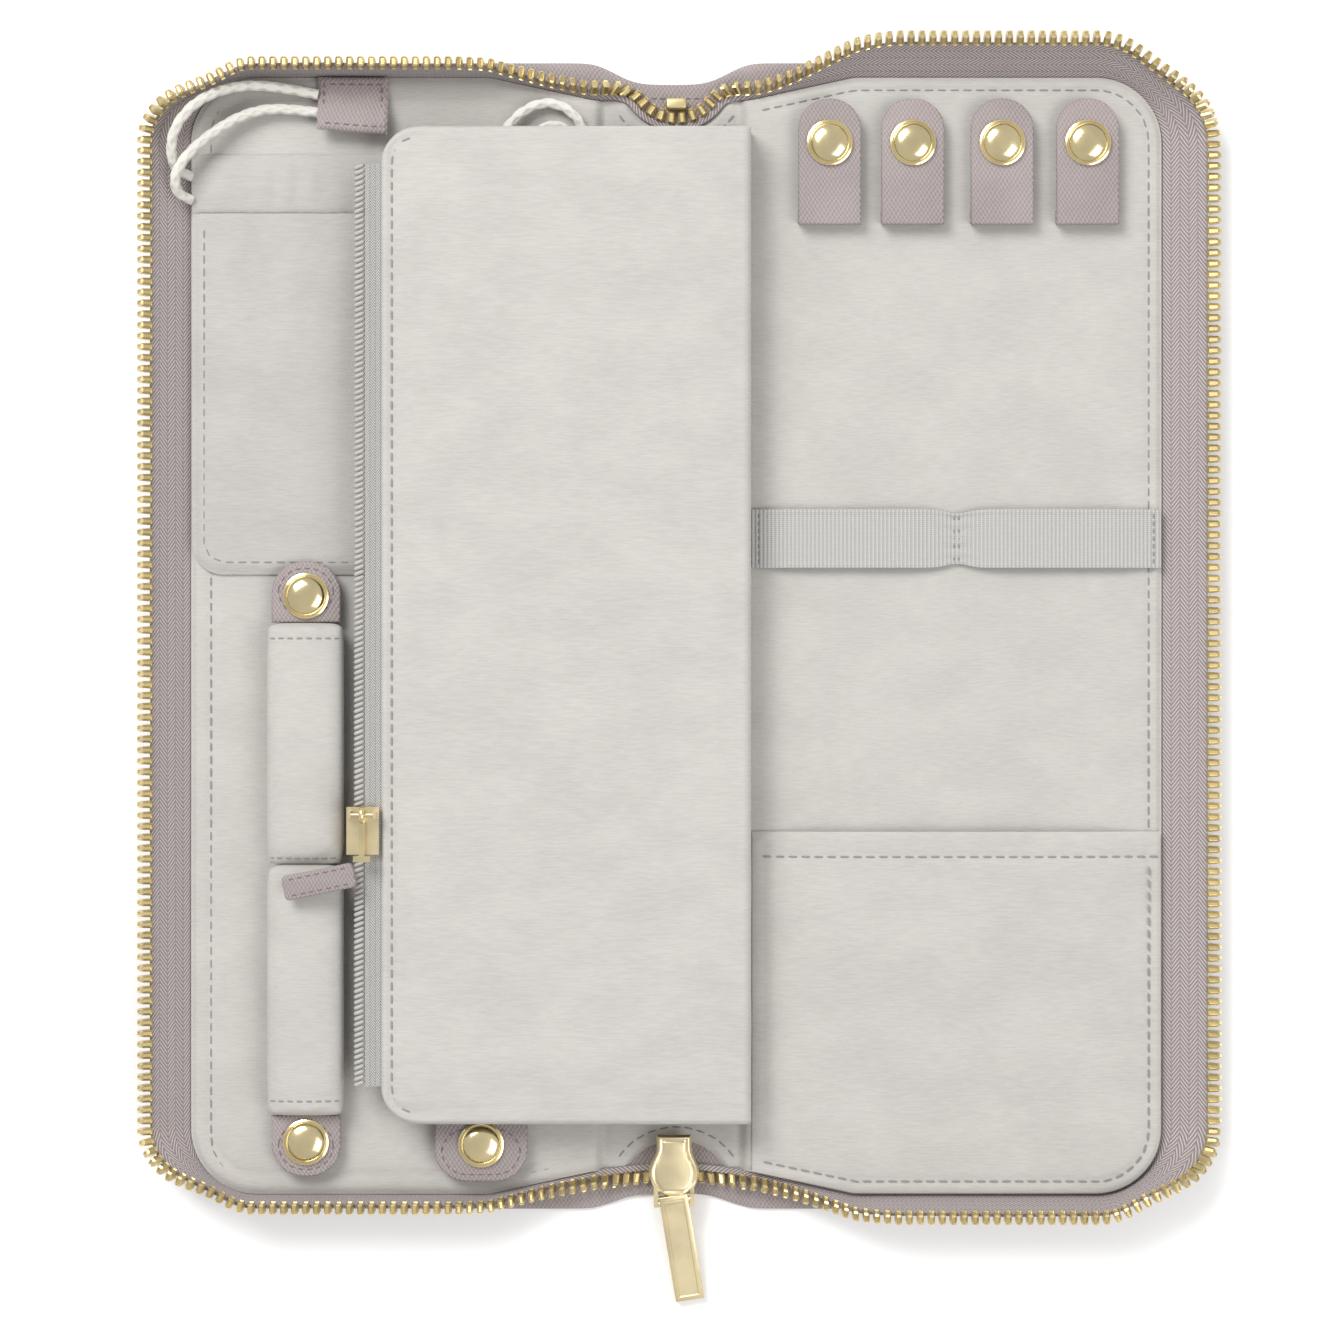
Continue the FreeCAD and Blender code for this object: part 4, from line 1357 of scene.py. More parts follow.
# ================================================================ metal
@dataclass
class MainSlider:
    """The main zip's slider: body and pin as cast, bell-shaped cap, flat bar pull and top stop."""

    wardrobe: Wardrobe
    foot_y: float = -118.6
    belly_y: float = -113.5
    head_y: float = -105.6
    cap_z: float = 5.35
    cap_t: float = 1.5
    shoulder: float = 5.3
    waist: float = 3.65
    pin: Point = (0.0, -119.8, 5.4)
    pull_back: float = 1.5
    pull_ahead: float = 22.1
    pull_width: float = 6.2
    pull_t: float = 1.6
    pull_turn: float = 9.0
    pull_dip: float = 11.3

    def cap_point(self, u: float, v: float, under: bool) -> Point:
        """A point of the bell-shaped cap.

        Args:
            u: share of the way across, from 0 to 1.
            v: share of the way along, from 0 to 1.
            under: True for the lower surface.

        Returns:
            The point in millimetres.
        """
        y = self.foot_y + (self.head_y - self.foot_y) * v
        if y < self.belly_y:
            low = (self.belly_y - y) / (self.belly_y - self.foot_y)
            half = self.shoulder * sqrt(max(1 - low ** 2, 0.0004))
        else:
            half = self.waist + (self.shoulder - self.waist) * (1 - ease((y - self.belly_y) / 5.2))
        x = (2 * u - 1) * half
        gap = min(half - abs(x), y - self.foot_y, self.head_y - y)
        if under:
            return (x, y, self.cap_z)
        rim = 0.55 * (1 - ease(gap / 0.5))
        channel = 0.22 * exp(-((gap - 1.15) / 0.22) ** 2)
        crown = 0.25 * (1 - (x / half) ** 2) if half else 0.0
        return (x, y, self.cap_z + self.cap_t - 0.25 - rim - channel + crown)

    def make(self) -> None:
        """Builds the slider's pieces and dresses its castings."""
        cap = shell("slider_cap", 44, 52, lambda u, v: self.cap_point(u, v, False),
                    lambda u, v: self.cap_point(u, v, True))
        dress(cap, self.wardrobe.brushed, "gold_metal", "spine", ("main_slider_cap",), 40)
        half = self.pull_width / 2
        pull = slab("slider_pull_bar", (-self.pull_back, -half, -self.pull_t / 2),
                    (self.pull_ahead, half, self.pull_t / 2), 0, 0.22)
        turn = radians(self.pull_turn)
        dip = radians(self.pull_dip)
        way = Vector((sin(turn) * cos(dip), -cos(turn) * cos(dip), -sin(dip)))
        place = frame_at(Vector(self.pin), way, Vector((0, 0, 1)))
        self.frame_lines(pull)
        self.stop()
        moved(pull, place)
        dress(pull, self.wardrobe.brushed, "gold_metal", "slider_pull", ("main_slider_pull",), 35)

    def stop(self) -> None:
        """The pressed clip over the first teeth."""
        low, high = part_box("zip_top_stop")
        clip = slab("zip_top_stop_clip", tuple(c / MM for c in low), tuple(c / MM for c in high), 0.7, 0.45)
        dress(clip, self.wardrobe.teeth, "gold_metal", "spine", ("zip_top_stop",), 40)

    def frame_lines(self, pull: bpy.types.Object) -> None:
        """Sinks a thin panel into both broad faces of the pull.

        Args:
            pull: the pull's bar, lying flat.
        """
        select_faces(pull, lambda face: abs(face.normal.z) > 0.99 and face.area > 30 * MM * MM)
        bpy.ops.mesh.inset(thickness=0.75 * MM, depth=0)
        bpy.ops.mesh.inset(thickness=0.22 * MM, depth=-0.22 * MM)
        bpy.ops.object.mode_set(mode="OBJECT")


@dataclass
class SnapCaps:
    """The polished domes on top of the snap tabs, each inside a raised ring."""

    wardrobe: Wardrobe
    radius: float = 4.82
    wall: float = 0.8
    sink: float = 0.1
    rises: tuple[tuple[float, float], ...] = (
        (0.34, 0.12), (0.22, -0.34), (0.12, 0.0), (0.10, 0.34), (0.22, 0.30), (0.45, 0.32), (0.70, 0.28),
        (0.85, 0.18), (0.85, 0.08), (0.45, 0.02))

    def dome(self, name: str, x: float, y: float, low: float) -> bpy.types.Object:
        """One dome: a disc whose top is inset and raised ring by ring.

        Args:
            name: the piece's name.
            x: its middle across the case.
            y: its middle along it.
            low: its underside.

        Returns:
            The piece.
        """
        clear()
        bpy.ops.mesh.primitive_cylinder_add(vertices=40, radius=self.radius * MM, depth=self.wall * MM,
                                            location=(x * MM, y * MM, (low + self.wall / 2) * MM))
        piece = bpy.context.object
        piece.name = piece.data.name = name
        bpy.ops.object.transform_apply(location=True, rotation=True, scale=True)
        select_faces(piece, lambda face: face.normal.z > 0.99)
        for inset, rise in self.rises:
            bpy.ops.mesh.inset(thickness=inset * MM, depth=rise * MM)
        bpy.ops.object.mode_set(mode="OBJECT")
        return piece

    def make(self) -> None:
        """Builds every dome over its CAD snap."""
        bodies = {f"necklace_snap_{i}": f"tab_{i}" for i in range(1, 5)}
        bodies |= {"ring_bar_upper_snap": "bar_upper", "ring_bar_lower_snap": "bar_lower",
                   "bracelet_snap": "bracelet_end"}
        for node, body in bodies.items():
            low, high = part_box(node)
            dome = self.dome(node + "_dome", (low[0] + high[0]) / 2 / MM, (low[1] + high[1]) / 2 / MM,
                             high[2] / MM - 1.8 - self.sink)
            dress(dome, self.wardrobe.snap, "gold_metal", body, (), 60)


# ================================================================ leather tabs
@dataclass
class LeatherTab:
    """A turned-edge leather tab with a round end, sewn round its border."""

    name: str
    node: str
    body: str
    wardrobe: Wardrobe
    round_up: bool = True
    round_radius: float = 6.2
    stitch: float = 1.5

    def make(self) -> None:
        """Builds the tab from its node's box, with its stitches."""
        low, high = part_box(self.node)
        low, high = [c / MM for c in low], [c / MM for c in high]
        middle = (low[1] + high[1]) / 2
        piece = slab(self.name, tuple(low), tuple(high), self.round_radius, 0.45,
                     lambda x, y: (y > middle) == self.round_up)
        dress(piece, self.wardrobe.leather, "mauve_leather", self.body, (self.node,), 60)
        if self.stitch:
            line = rounded(low[0] + self.stitch, high[0] - self.stitch, low[1] + self.stitch, high[1] - self.stitch,
                           high[2] - 0.02, self.round_radius - self.stitch)
            Stitches(self.name + "_stitches", self.body, self.wardrobe.leather_thread, "mauve_leather", 1.9, 1.25,
                     0.34, [line]).make()


@dataclass
class NecklaceTabs:
    """The four necklace tabs and the folded anchors that they turn on."""

    wardrobe: Wardrobe
    places: tuple[float, ...] = (32.9, 50.5, 69.4, 87.5)
    half: float = 6.65
    anchor_low: float = 87.4
    anchor_high: float = 90.0
    base_z: float = 3.4
    top_z: float = 5.3

    def make(self) -> None:
        """Builds tabs and anchors."""
        for i in range(1, len(self.places) + 1):
            LeatherTab(f"necklace_tab_leather_{i}", f"necklace_tab_{i}", f"tab_{i}", self.wardrobe, True, 6.4,
                       0).make()
        seed = slab("anchor", (-self.half, self.anchor_low, self.base_z),
                    (self.half, self.anchor_high, self.top_z), 0, 0.4, unit=1.0)
        anchors = repeat("necklace_anchor_leather", seed, [Matrix.Translation((x, 0, 0)) for x in self.places])
        dress(anchors, self.wardrobe.leather, "mauve_leather", "right_cover", ("necklace_tab_anchors",), 60)


# ================================================================ right cover's furniture
@dataclass
class ElasticBand:
    """Ribbed elastic in two arches, sewn at both ends and in the middle."""

    wardrobe: Wardrobe
    low_x: float = 16.5
    high_x: float = 103.3
    sewn_x: float = 59.9
    middle_y: float = 20.6
    half: float = 6.2
    base_z: float = 3.42
    thick: float = 0.95
    arch: float = 1.15

    def point(self, u: float, v: float, under: bool) -> Point:
        """A point of the band.

        Args:
            u: share of the way across, from 0 to 1.
            v: share of the way along, from 0 to 1.
            under: True for the lower surface.

        Returns:
            The point in millimetres.
        """
        x = self.low_x + (self.high_x - self.low_x) * u
        pinch = exp(-((x - self.sewn_x) / 3.2) ** 2)
        span = (self.low_x, self.sewn_x) if x < self.sewn_x else (self.sewn_x, self.high_x)
        t = (x - span[0]) / (span[1] - span[0])
        lift = self.arch * min(1.0, sin(pi * t) * 1.5)
        half = self.half * (1 - 0.14 * pinch)
        y = self.middle_y + half * (2 * v - 1)
        over = abs(2 * v - 1)
        selvedge = 0.22 * exp(-((over - 0.93) / 0.05) ** 2)
        fold = 0.35 * pinch * sin(over * 14)
        z = self.base_z + lift
        return (x, y, z if under else min(z + self.thick - 0.2 + selvedge + fold * 0.4, 5.75))

    def make(self) -> None:
        """Builds the band and its middle seam."""
        band = shell("ribbed_elastic_band", 220, 26, lambda u, v: self.point(u, v, False),
                     lambda u, v: self.point(u, v, True),
                     lambda u, v: (u * (self.high_x - self.low_x), v * self.half * 2))
        dress(band, self.wardrobe.elastic, "elastic", "right_cover", ("elastic_band",))
        rows = [[(self.sewn_x + off, self.middle_y - 5.2, 4.15), (self.sewn_x + off, self.middle_y + 5.2, 4.15)]
                for off in (-0.5, 0.5)]
        rows += [[(x, self.middle_y - 5.6, 4.4), (x, self.middle_y + 5.6, 4.4)]
                 for x in (self.low_x + 1.6, self.high_x - 1.6)]
        Stitches("elastic_band_stitches", "right_cover", self.wardrobe.lining_thread, "elastic", 1.5, 1.1, 0.45,
                 rows).make()


@dataclass
class BottomPocket:
    """A flat lining pocket with an open top, sewn to the cover on three sides."""

    wardrobe: Wardrobe
    low_x: float = 16.6
    high_x: float = 103.2
    low_y: float = -118.2
    top_y: float = -41.5
    corner: float = 13.6
    base_z: float = 3.42
    bulge: float = 2.0
    thick: float = 0.85
    hem: float = 5.3
    seam: float = 2.5

    def low_end(self, x: float) -> float:
        """The pocket's lower edge over a place.

        Args:
            x: place across the case.

        Returns:
            The edge's y.
        """
        bend = self.high_x - self.corner
        drop = max(self.low_x + 21.6 - x, 0) / 21.6 * 4.6
        if x > bend:
            return self.low_y + self.corner - sqrt(max(self.corner ** 2 - (x - bend) ** 2, 0))
        return self.low_y + drop

    def point(self, u: float, v: float, under: bool) -> Point:
        """A point of the pocket.

        Args:
            u: share of the way across, from 0 to 1.
            v: share of the way along, from 0 to 1.
            under: True for the lower surface.

        Returns:
            The point in millimetres.
        """
        bend = self.high_x - self.corner
        if u < 0.8:
            x = self.low_x + (bend - self.low_x) * u / 0.8
        else:
            x = bend + self.corner * sin(pi / 2 * (u - 0.8) / 0.2)
        low = self.low_end(x)
        y = low + (self.top_y - low) * v
        gap = max(min(x - self.low_x, self.high_x - x, y - low), 0.0)
        if x > bend and y < self.low_y + self.corner:
            gap = max(min(gap, self.corner - sqrt((x - bend) ** 2 + (y - self.low_y - self.corner) ** 2)), 0.0)
        open_top = ease((y - self.low_y) / (self.top_y - self.low_y))
        swell = self.bulge * ease((gap - 1.0) / 16.0) * (0.35 + 0.65 * open_top)
        wrinkle = 0.10 * noise.noise(Vector((x * 0.08, y * 0.05, 3.0))) * ease(gap / 8)
        hem = 0.22 * exp(-((y - self.top_y + self.hem) / 0.7) ** 2)
        sewn = 0.3 * exp(-((gap - self.seam) / 0.8) ** 2) if y < self.top_y - 3 else 0.0
        edge = 0.4 * (1 - ease(min(gap, self.top_y - y) / 0.8))
        z = self.base_z + swell + wrinkle
        return (x, y, z if under else max(z + self.thick - hem - sewn - edge, z + 0.1))

    def make(self) -> None:
        """Builds the pocket and its stitches."""
        cloth = shell("bottom_pocket_cloth", 90, 90, lambda u, v: self.point(u, v, False),
                      lambda u, v: self.point(u, v, True))
        dress(cloth, self.wardrobe.lining, "grey_lining", "right_cover", ("bottom_pocket",))
        hem = []
        for step in range(61):
            u = 0.02 + 0.96 * step / 60
            x, y, z = self.point(u, 1 - self.hem / (self.top_y - self.low_y), False)
            hem.append((x, self.top_y - self.hem, z + 0.12))
        border = []
        inner_x, corner = self.high_x - self.seam, self.corner - self.seam
        for step in range(9):
            turn = pi / 2 * step / 8
            border.append((inner_x - corner + corner * cos(turn),
                           self.low_y + self.seam + corner - corner * sin(turn),
                           self.base_z + self.thick - 0.08))
        side = [(inner_x, self.top_y - 7, self.base_z + self.thick + 0.45),
                (inner_x, -80, self.base_z + self.thick)]
        foot = [(self.low_x + 22, self.low_y + self.seam, self.base_z + self.thick - 0.08),
                (self.low_x + 2, self.low_y + self.seam + 4.2, self.base_z + self.thick - 0.08)]
        Stitches("bottom_pocket_stitches", "right_cover", self.wardrobe.lining_thread, "grey_lining",
                 rows=[hem, side + border + foot]).make()


# ================================================================ left cover's furniture
@dataclass
class DrawstringPouch:
    """A flat pouch whose open top is a channel for the drawcord."""

    wardrobe: Wardrobe
    low_x: float = -102.2
    high_x: float = -24.0
    low_y: float = 13.0
    channel_y: float = 89.5
    top_y: float = 102.0
    corner: float = 6.5
    base_z: float = 3.42
    thick: float = 1.5

    def low_end(self, x: float) -> float:
        """The pouch's lower edge over a place.

        Args:
            x: place across the case.

        Returns:
            The edge's y.
        """
        near = min(x - self.low_x, self.high_x - x)
        if near < self.corner:
            return self.low_y + self.corner - sqrt(max(self.corner ** 2 - (self.corner - near) ** 2, 0))
        return self.low_y

    def body_point(self, u: float, v: float, under: bool) -> Point:
        """A point of the bag below its channel.

        Args:
            u: share of the way across, from 0 to 1.
            v: share of the way along, from 0 to 1.
            under: True for the lower surface.

        Returns:
            The point in millimetres.
        """
        bent = 0.5 - 0.5 * cos(pi * u)
        x = self.low_x + (self.high_x - self.low_x) * (0.4 * u + 0.6 * bent)
        low = self.low_end(x)
        y = low + (self.channel_y - low) * v
        gap = min(x - self.low_x, self.high_x - x, y - low)
        folds = 0.22 * sin(x * 0.52 + 0.8 * sin(y * 0.05)) * ease((y - 45) / 45) * ease(gap / 6)
        slack = 0.28 * noise.noise(Vector((x * 0.045, y * 0.04, 9.0)))
        rim = 0.8 * (1 - ease(gap / 2.2))
        z = self.base_z + self.thick + folds + slack * ease(gap / 8) - rim - 0.25
        return (x, y, self.base_z if under else max(z, self.base_z + 0.3))

    def channel_point(self, u: float, v: float, under: bool) -> Point:
        """A point of the channel.

        Args:
            u: share of the way across, from 0 to 1.
            v: share of the way along, from 0 to 1.
            under: True for the lower surface.

        Returns:
            The point in millimetres.
        """
        x = self.low_x + (self.high_x - self.low_x) * u
        y = self.channel_y + (self.top_y - self.channel_y) * v
        tube = sin(pi * min(v * 1.02, 1.0)) ** 0.5 if v > 0 else 0.0
        gather = 0.18 * sin(x * 0.9 + sin(x * 0.23) * 2) * sin(pi * v)
        z = self.base_z + 0.5 + (self.thick - 0.45) * tube + gather
        return (x, y, self.base_z if under else z)

    def make(self) -> None:
        """Builds bag and channel with their stitches."""
        bag = shell("pouch_bag_cloth", 90, 90, lambda u, v: self.body_point(u, v, False),
                    lambda u, v: self.body_point(u, v, True))
        dress(bag, self.wardrobe.pouch, "grey_lining", "left_cover", ("drawstring_pouch",))
        channel = shell("pouch_channel_cloth", 150, 24, lambda u, v: self.channel_point(u, v, False),
                        lambda u, v: self.channel_point(u, v, True))
        dress(channel, self.wardrobe.pouch, "grey_lining", "left_cover", ("pouch_channel",))
        z = self.base_z + self.thick - 0.3
        left, right, low = self.low_x + 2.6, self.high_x - 2.6, self.low_y + 2.6
        border = [(left, self.channel_y - 3, z), (left, low + 4, z), (left + 1.2, low + 1.2, z), (left + 4, low, z),
                  (right - 4, low, z), (right - 1.2, low + 1.2, z), (right, low + 4, z), (right, self.channel_y - 3, z)]
        Stitches("pouch_stitches", "left_cover", self.wardrobe.lining_thread, "grey_lining",
                 rows=[[(self.low_x + 1.5, self.channel_y, self.base_z + 0.9),
                        (self.high_x - 1.5, self.channel_y, self.base_z + 0.9)], border]).make()


@dataclass
class CordKeeper:
    """A leather patch over the ends of the drawcord, sewn along its top and standing off below."""

    wardrobe: Wardrobe
    low_x: float = -75.4
    high_x: float = -60.6
    low_y: float = 105.8
    high_y: float = 118.4
    thick: float = 1.35

    def point(self, u: float, v: float, under: bool) -> Point:
        """A point of the patch.

        Args:
            u: share of the way across, from 0 to 1.
            v: share of the way along, from 0 to 1.
            under: True for the lower surface.

        Returns:
            The point in millimetres.
        """
        bent = 0.5 - 0.5 * cos(pi * u)
        x = self.low_x + (self.high_x - self.low_x) * (0.5 * u + 0.5 * bent)
        slant = 1.3 * (x - self.low_x) / (self.high_x - self.low_x)
        low = self.low_y + 1.3 - slant
        y = low + (self.high_y - low) * v
        side = min(x - self.low_x, self.high_x - x)
        lift = 2.85 * ease((self.high_y - 1.5 - y) / 9.0)
        gap = min(side, self.high_y - y, y - low)
        rim = 0.45 * (1 - ease(gap / 0.7))
        top = 3.45 + self.thick + lift - rim
        return (x, y, top - self.thick + rim * 1.6 if under else top)

    def make(self) -> None:
        """Builds the patch and its border."""
        patch = shell("cord_keeper_leather", 44, 40, lambda u, v: self.point(u, v, False),
                      lambda u, v: self.point(u, v, True))
        dress(patch, self.wardrobe.leather, "mauve_leather", "left_cover", ("cord_keeper",), 60)
        row = []
        for u, v in ((0.13, 0.12), (0.13, 0.5), (0.13, 0.87), (0.5, 0.87), (0.87, 0.87), (0.87, 0.5), (0.87, 0.12),
                     (0.5, 0.12), (0.13, 0.12)):
            x, y, z = self.point(u, v, False)
            row.append((x, y, z))
        Stitches("cord_keeper_stitches", "left_cover", self.wardrobe.leather_thread, "mauve_leather", 2.0, 1.3, 0.34,
                 [row]).make()


@dataclass
class Drawcord:
    """A braided cotton cord along a smooth line."""

    name: str
    node: str
    route: tuple[Point, ...]
    diameter: float = 2.2
    sides: int = 24
    twist: float = 3.4
    crossing: int = 3
    piece: bpy.types.Object | None = field(default=None, init=False)
    path: list[Point] = field(default_factory=list, init=False)
    length: float = field(default=0.0, init=False)

    def line(self) -> list[Vector]:
        """Points of the cord's own smooth line, in metres.

        Returns:
            The points in order.
        """
        curve = bpy.data.curves.new(self.name + "_line", "CURVE")
        curve.dimensions = "3D"
        curve.resolution_u = 16
        spline = curve.splines.new("NURBS")
        spline.points.add(len(self.route) - 1)
        for point, place in zip(spline.points, self.route):
            point.co = (place[0] * MM, place[1] * MM, place[2] * MM, 1)
        spline.order_u = 3
        spline.use_endpoint_u = True
        holder = bpy.data.objects.new(self.name + "_line", curve)
        bpy.context.scene.collection.objects.link(holder)
        mesh = bpy.data.meshes.new_from_object(holder)
        points = [v.co.copy() for v in mesh.vertices]
        bpy.data.objects.remove(holder)
        return points

    def make(self) -> bpy.types.Object:
        """Builds the braid round the line.

        Returns:
            The braid.
        """
        line = self.line()
        length = sum((b - a).length for a, b in zip(line, line[1:]))
        rings = walk([tuple(p / MM) for p in line], 0.3, 0.0)
        rings.append((line[-1] / MM, rings[-1][1]))
        radius = self.diameter / 2
        points, faces = [], []
        side = Vector((0, 0, 1)).cross(rings[0][1]).normalized()
        for i, (spot, way) in enumerate(rings):
            side = (side - way * side.dot(way)).normalized()
            up = way.cross(side)
            for k in range(self.sides):
                turn = 2 * pi * k / self.sides
                phase = 2 * pi * i * 0.3 / self.twist
                strand = max(cos(self.crossing * turn + phase), cos(self.crossing * turn - phase))
                out = radius * (0.87 + 0.15 * strand)
                points.append((spot + (side * cos(turn) + up * sin(turn)) * out) * MM)
        count = len(rings)
        for i in range(count - 1):
            for k in range(self.sides):
                n = (k + 1) % self.sides
                faces.append((i * self.sides + k, i * self.sides + n,
                              (i + 1) * self.sides + n, (i + 1) * self.sides + k))
        faces.append(tuple(reversed(range(self.sides))))
        faces.append(tuple((count - 1) * self.sides + k for k in range(self.sides)))
        mesh = bpy.data.meshes.new(self.name)
        mesh.from_pydata(points, [], faces)
        piece = bpy.data.objects.new(self.name, mesh)
        bpy.context.scene.collection.objects.link(piece)
        outward(piece)
        self.piece, self.path, self.length = piece, [tuple(p) for p in line], length
        return piece

    def declare(self, wardrobe: Wardrobe) -> None:
        """Args:
            wardrobe: the case's finishes.
        """
        dress(self.piece, wardrobe.cord, "white_cord", "left_cover", (self.node,), 70)
        tuple(c * MM for c in self.route[0])
        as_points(self.path)


@dataclass
class RingBar:
    """A padded roll for rings, sewn down across its middle, in two arms."""

    wardrobe: Wardrobe
    x: float = -77.8
    width: float = 16.5
    low_z: float = 3.8
    high_z: float = 11.2
    seam_y: float = -48.1
    top_y: float = 2.8
    bottom_y: float = -101.4
    filling: Filling = Filling()
    upper_hinge: float = -38.1
    lower_hinge: float = -56.3

    def half_arm(self, u: float, v: float, far_y: float, under: bool) -> Point:
        """A point of one arm, from the seam at v = 0 to its free end.

        Args:
            u: share of the way across, from 0 to 1.
            v: share of the way along, from 0 to 1.
            far_y: the arm's free end.
            under: True for the lower surface.

        Returns:
            The point in millimetres.
        """
        flare = 0.5 - 0.5 * cos(pi * v)
        y = self.seam_y + (far_y - self.seam_y) * (0.5 * v + 0.5 * flare)
        from_seam, from_end = abs(y - self.seam_y), abs(far_y - y)
        tip = sqrt(max(1 - (1 - min(from_end / 2.6, 1.0)) ** 2, 0.0))
        sewn = 1 - 0.22 * exp(-((from_end - 3.4) / 1.1) ** 2) - 0.38 * exp(-(from_seam / 1.6) ** 2)
        swell = max(tip * 0.86 + 0.14, 0.2) * sewn
        turn = 2 * u - 1
        half = self.width / 2 * (1 - 0.05 * exp(-(from_seam / 3.0) ** 2))
        x = self.x + half * sin(pi / 2 * turn)
        middle = (self.low_z + self.high_z) / 2
        rise = (self.high_z - self.low_z) / 2 * swell * abs(cos(pi / 2 * turn)) ** 0.62
        ripple = 0.12 * noise.noise(Vector((x * 0.16, y * 0.12, 1.0))) * abs(cos(pi / 2 * turn))
        return (x, y, middle + (-rise if under else rise + ripple - 0.1))

    def arm(self, name: str, far_y: float, nodes: tuple[str, ...],
            hinge: float) -> bpy.types.Object:
        """Builds one arm, from the seam outwards, and returns it.

        Args:
            name: the piece's name.
            far_y: its free end.
            nodes: CAD nodes it stands for.
            hinge: y of the arm's hinge line; not used.

        Returns:
            The piece.
        """
        piece = shell(name, 40, 90, lambda u, v: self.half_arm(u, v, far_y, False),
                      lambda u, v: self.half_arm(u, v, far_y, True))
        self.filling.swell(piece)
        dress(piece, self.wardrobe.lining, "grey_lining", None, nodes, 80)
        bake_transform(piece)
        return piece

    def sewn_row(self, pad: bpy.types.Object, y: float) -> list[Point]:
        """A line across a pad, laid on its cloth from above.

        Args:
            pad: the swollen pad.
            y: where the row crosses it.

        Returns:
            Points on the cloth, in millimetres.
        """
        row = []
        for step in range(-7, 8):
            x = self.x + self.width * 0.46 * step / 7
            hit, place, _, _ = pad.ray_cast(Vector((x, y, 40.0)) * MM, Vector((0, 0, -1)))
            row.append((x, y, place.z / MM if hit else self.high_z))
        return row

    def make(self) -> None:
        """Builds both arms and their cross stitches."""
        upper = self.arm("ring_bar_upper_pad", self.top_y, ("ring_bar_upper", "ring_bar_middle"),
                         self.upper_hinge)
        lower = self.arm("ring_bar_lower_pad", self.bottom_y, ("ring_bar_lower",), self.lower_hinge)
        for label, body, pad, y in (("seam", "left_cover", upper, self.seam_y + 1.3),
                                    ("upper", "bar_upper", upper, self.top_y - 3.4),
                                    ("lower", "bar_lower", lower, self.bottom_y + 3.4)):
            Stitches(f"ring_bar_stitches_{label}", body, self.wardrobe.lining_thread, "grey_lining", 1.9, 1.35,
                     0.45, [self.sewn_row(pad, y)]).make()
        for end, up in (("upper", True), ("lower", False)):
            LeatherTab(f"ring_bar_{end}_tab_leather", f"ring_bar_{end}_tab", f"bar_{end}", self.wardrobe, up,
                       6.7).make()


@dataclass
class BraceletStrap:
    """A lining strap that lies under the leaf, with a snap tab at its lower end."""

    wardrobe: Wardrobe
    low_x: float = -50.6
    high_x: float = -31.0
    low_y: float = -101.6
    high_y: float = -8.8
    low_z: float = 5.4
    high_z: float = 7.0

    def point(self, u: float, v: float, under: bool) -> Point:
        """A point of the strap, which rises from its sewn top end.

        Args:
            u: share of the way across, from 0 to 1.
            v: share of the way along, from 0 to 1.
            under: True for the lower surface.

        Returns:
            The point in millimetres.
        """
        x = self.low_x + (self.high_x - self.low_x) * u
        y = self.low_y + (self.high_y - self.low_y) * v
        drop = 2.0 * ease((y - self.high_y + 9.0) / 8.0)
        gap = min(x - self.low_x, self.high_x - x, self.high_y - y, y - self.low_y)
        rim = 0.4 * (1 - ease(gap / 0.6))
        return (x, y, self.low_z - drop + rim * 0.8 if under else self.high_z - drop - rim)

    def make(self) -> None:
        """Builds strap, tab and stitches."""
        strap = shell("bracelet_strap_leather", 44, 120, lambda u, v: self.point(u, v, False),
                      lambda u, v: self.point(u, v, True))
        dress(strap, self.wardrobe.lining, "grey_lining", "left_cover", ("bracelet_strap",), 60)
        row = [(x, y, self.high_z - 0.02) for x, y in
               ((self.low_x + 1.6, self.high_y - 9), (self.low_x + 1.6, self.low_y + 1.6),
                (self.high_x - 1.6, self.low_y + 1.6), (self.high_x - 1.6, self.high_y - 9))]
        Stitches("bracelet_strap_stitches", "left_cover", self.wardrobe.lining_thread, "grey_lining", 1.9, 1.25,
                 0.34, [row]).make()
        LeatherTab("bracelet_tab_leather", "bracelet_tab", "bracelet_end", self.wardrobe, False, 6.7).make()


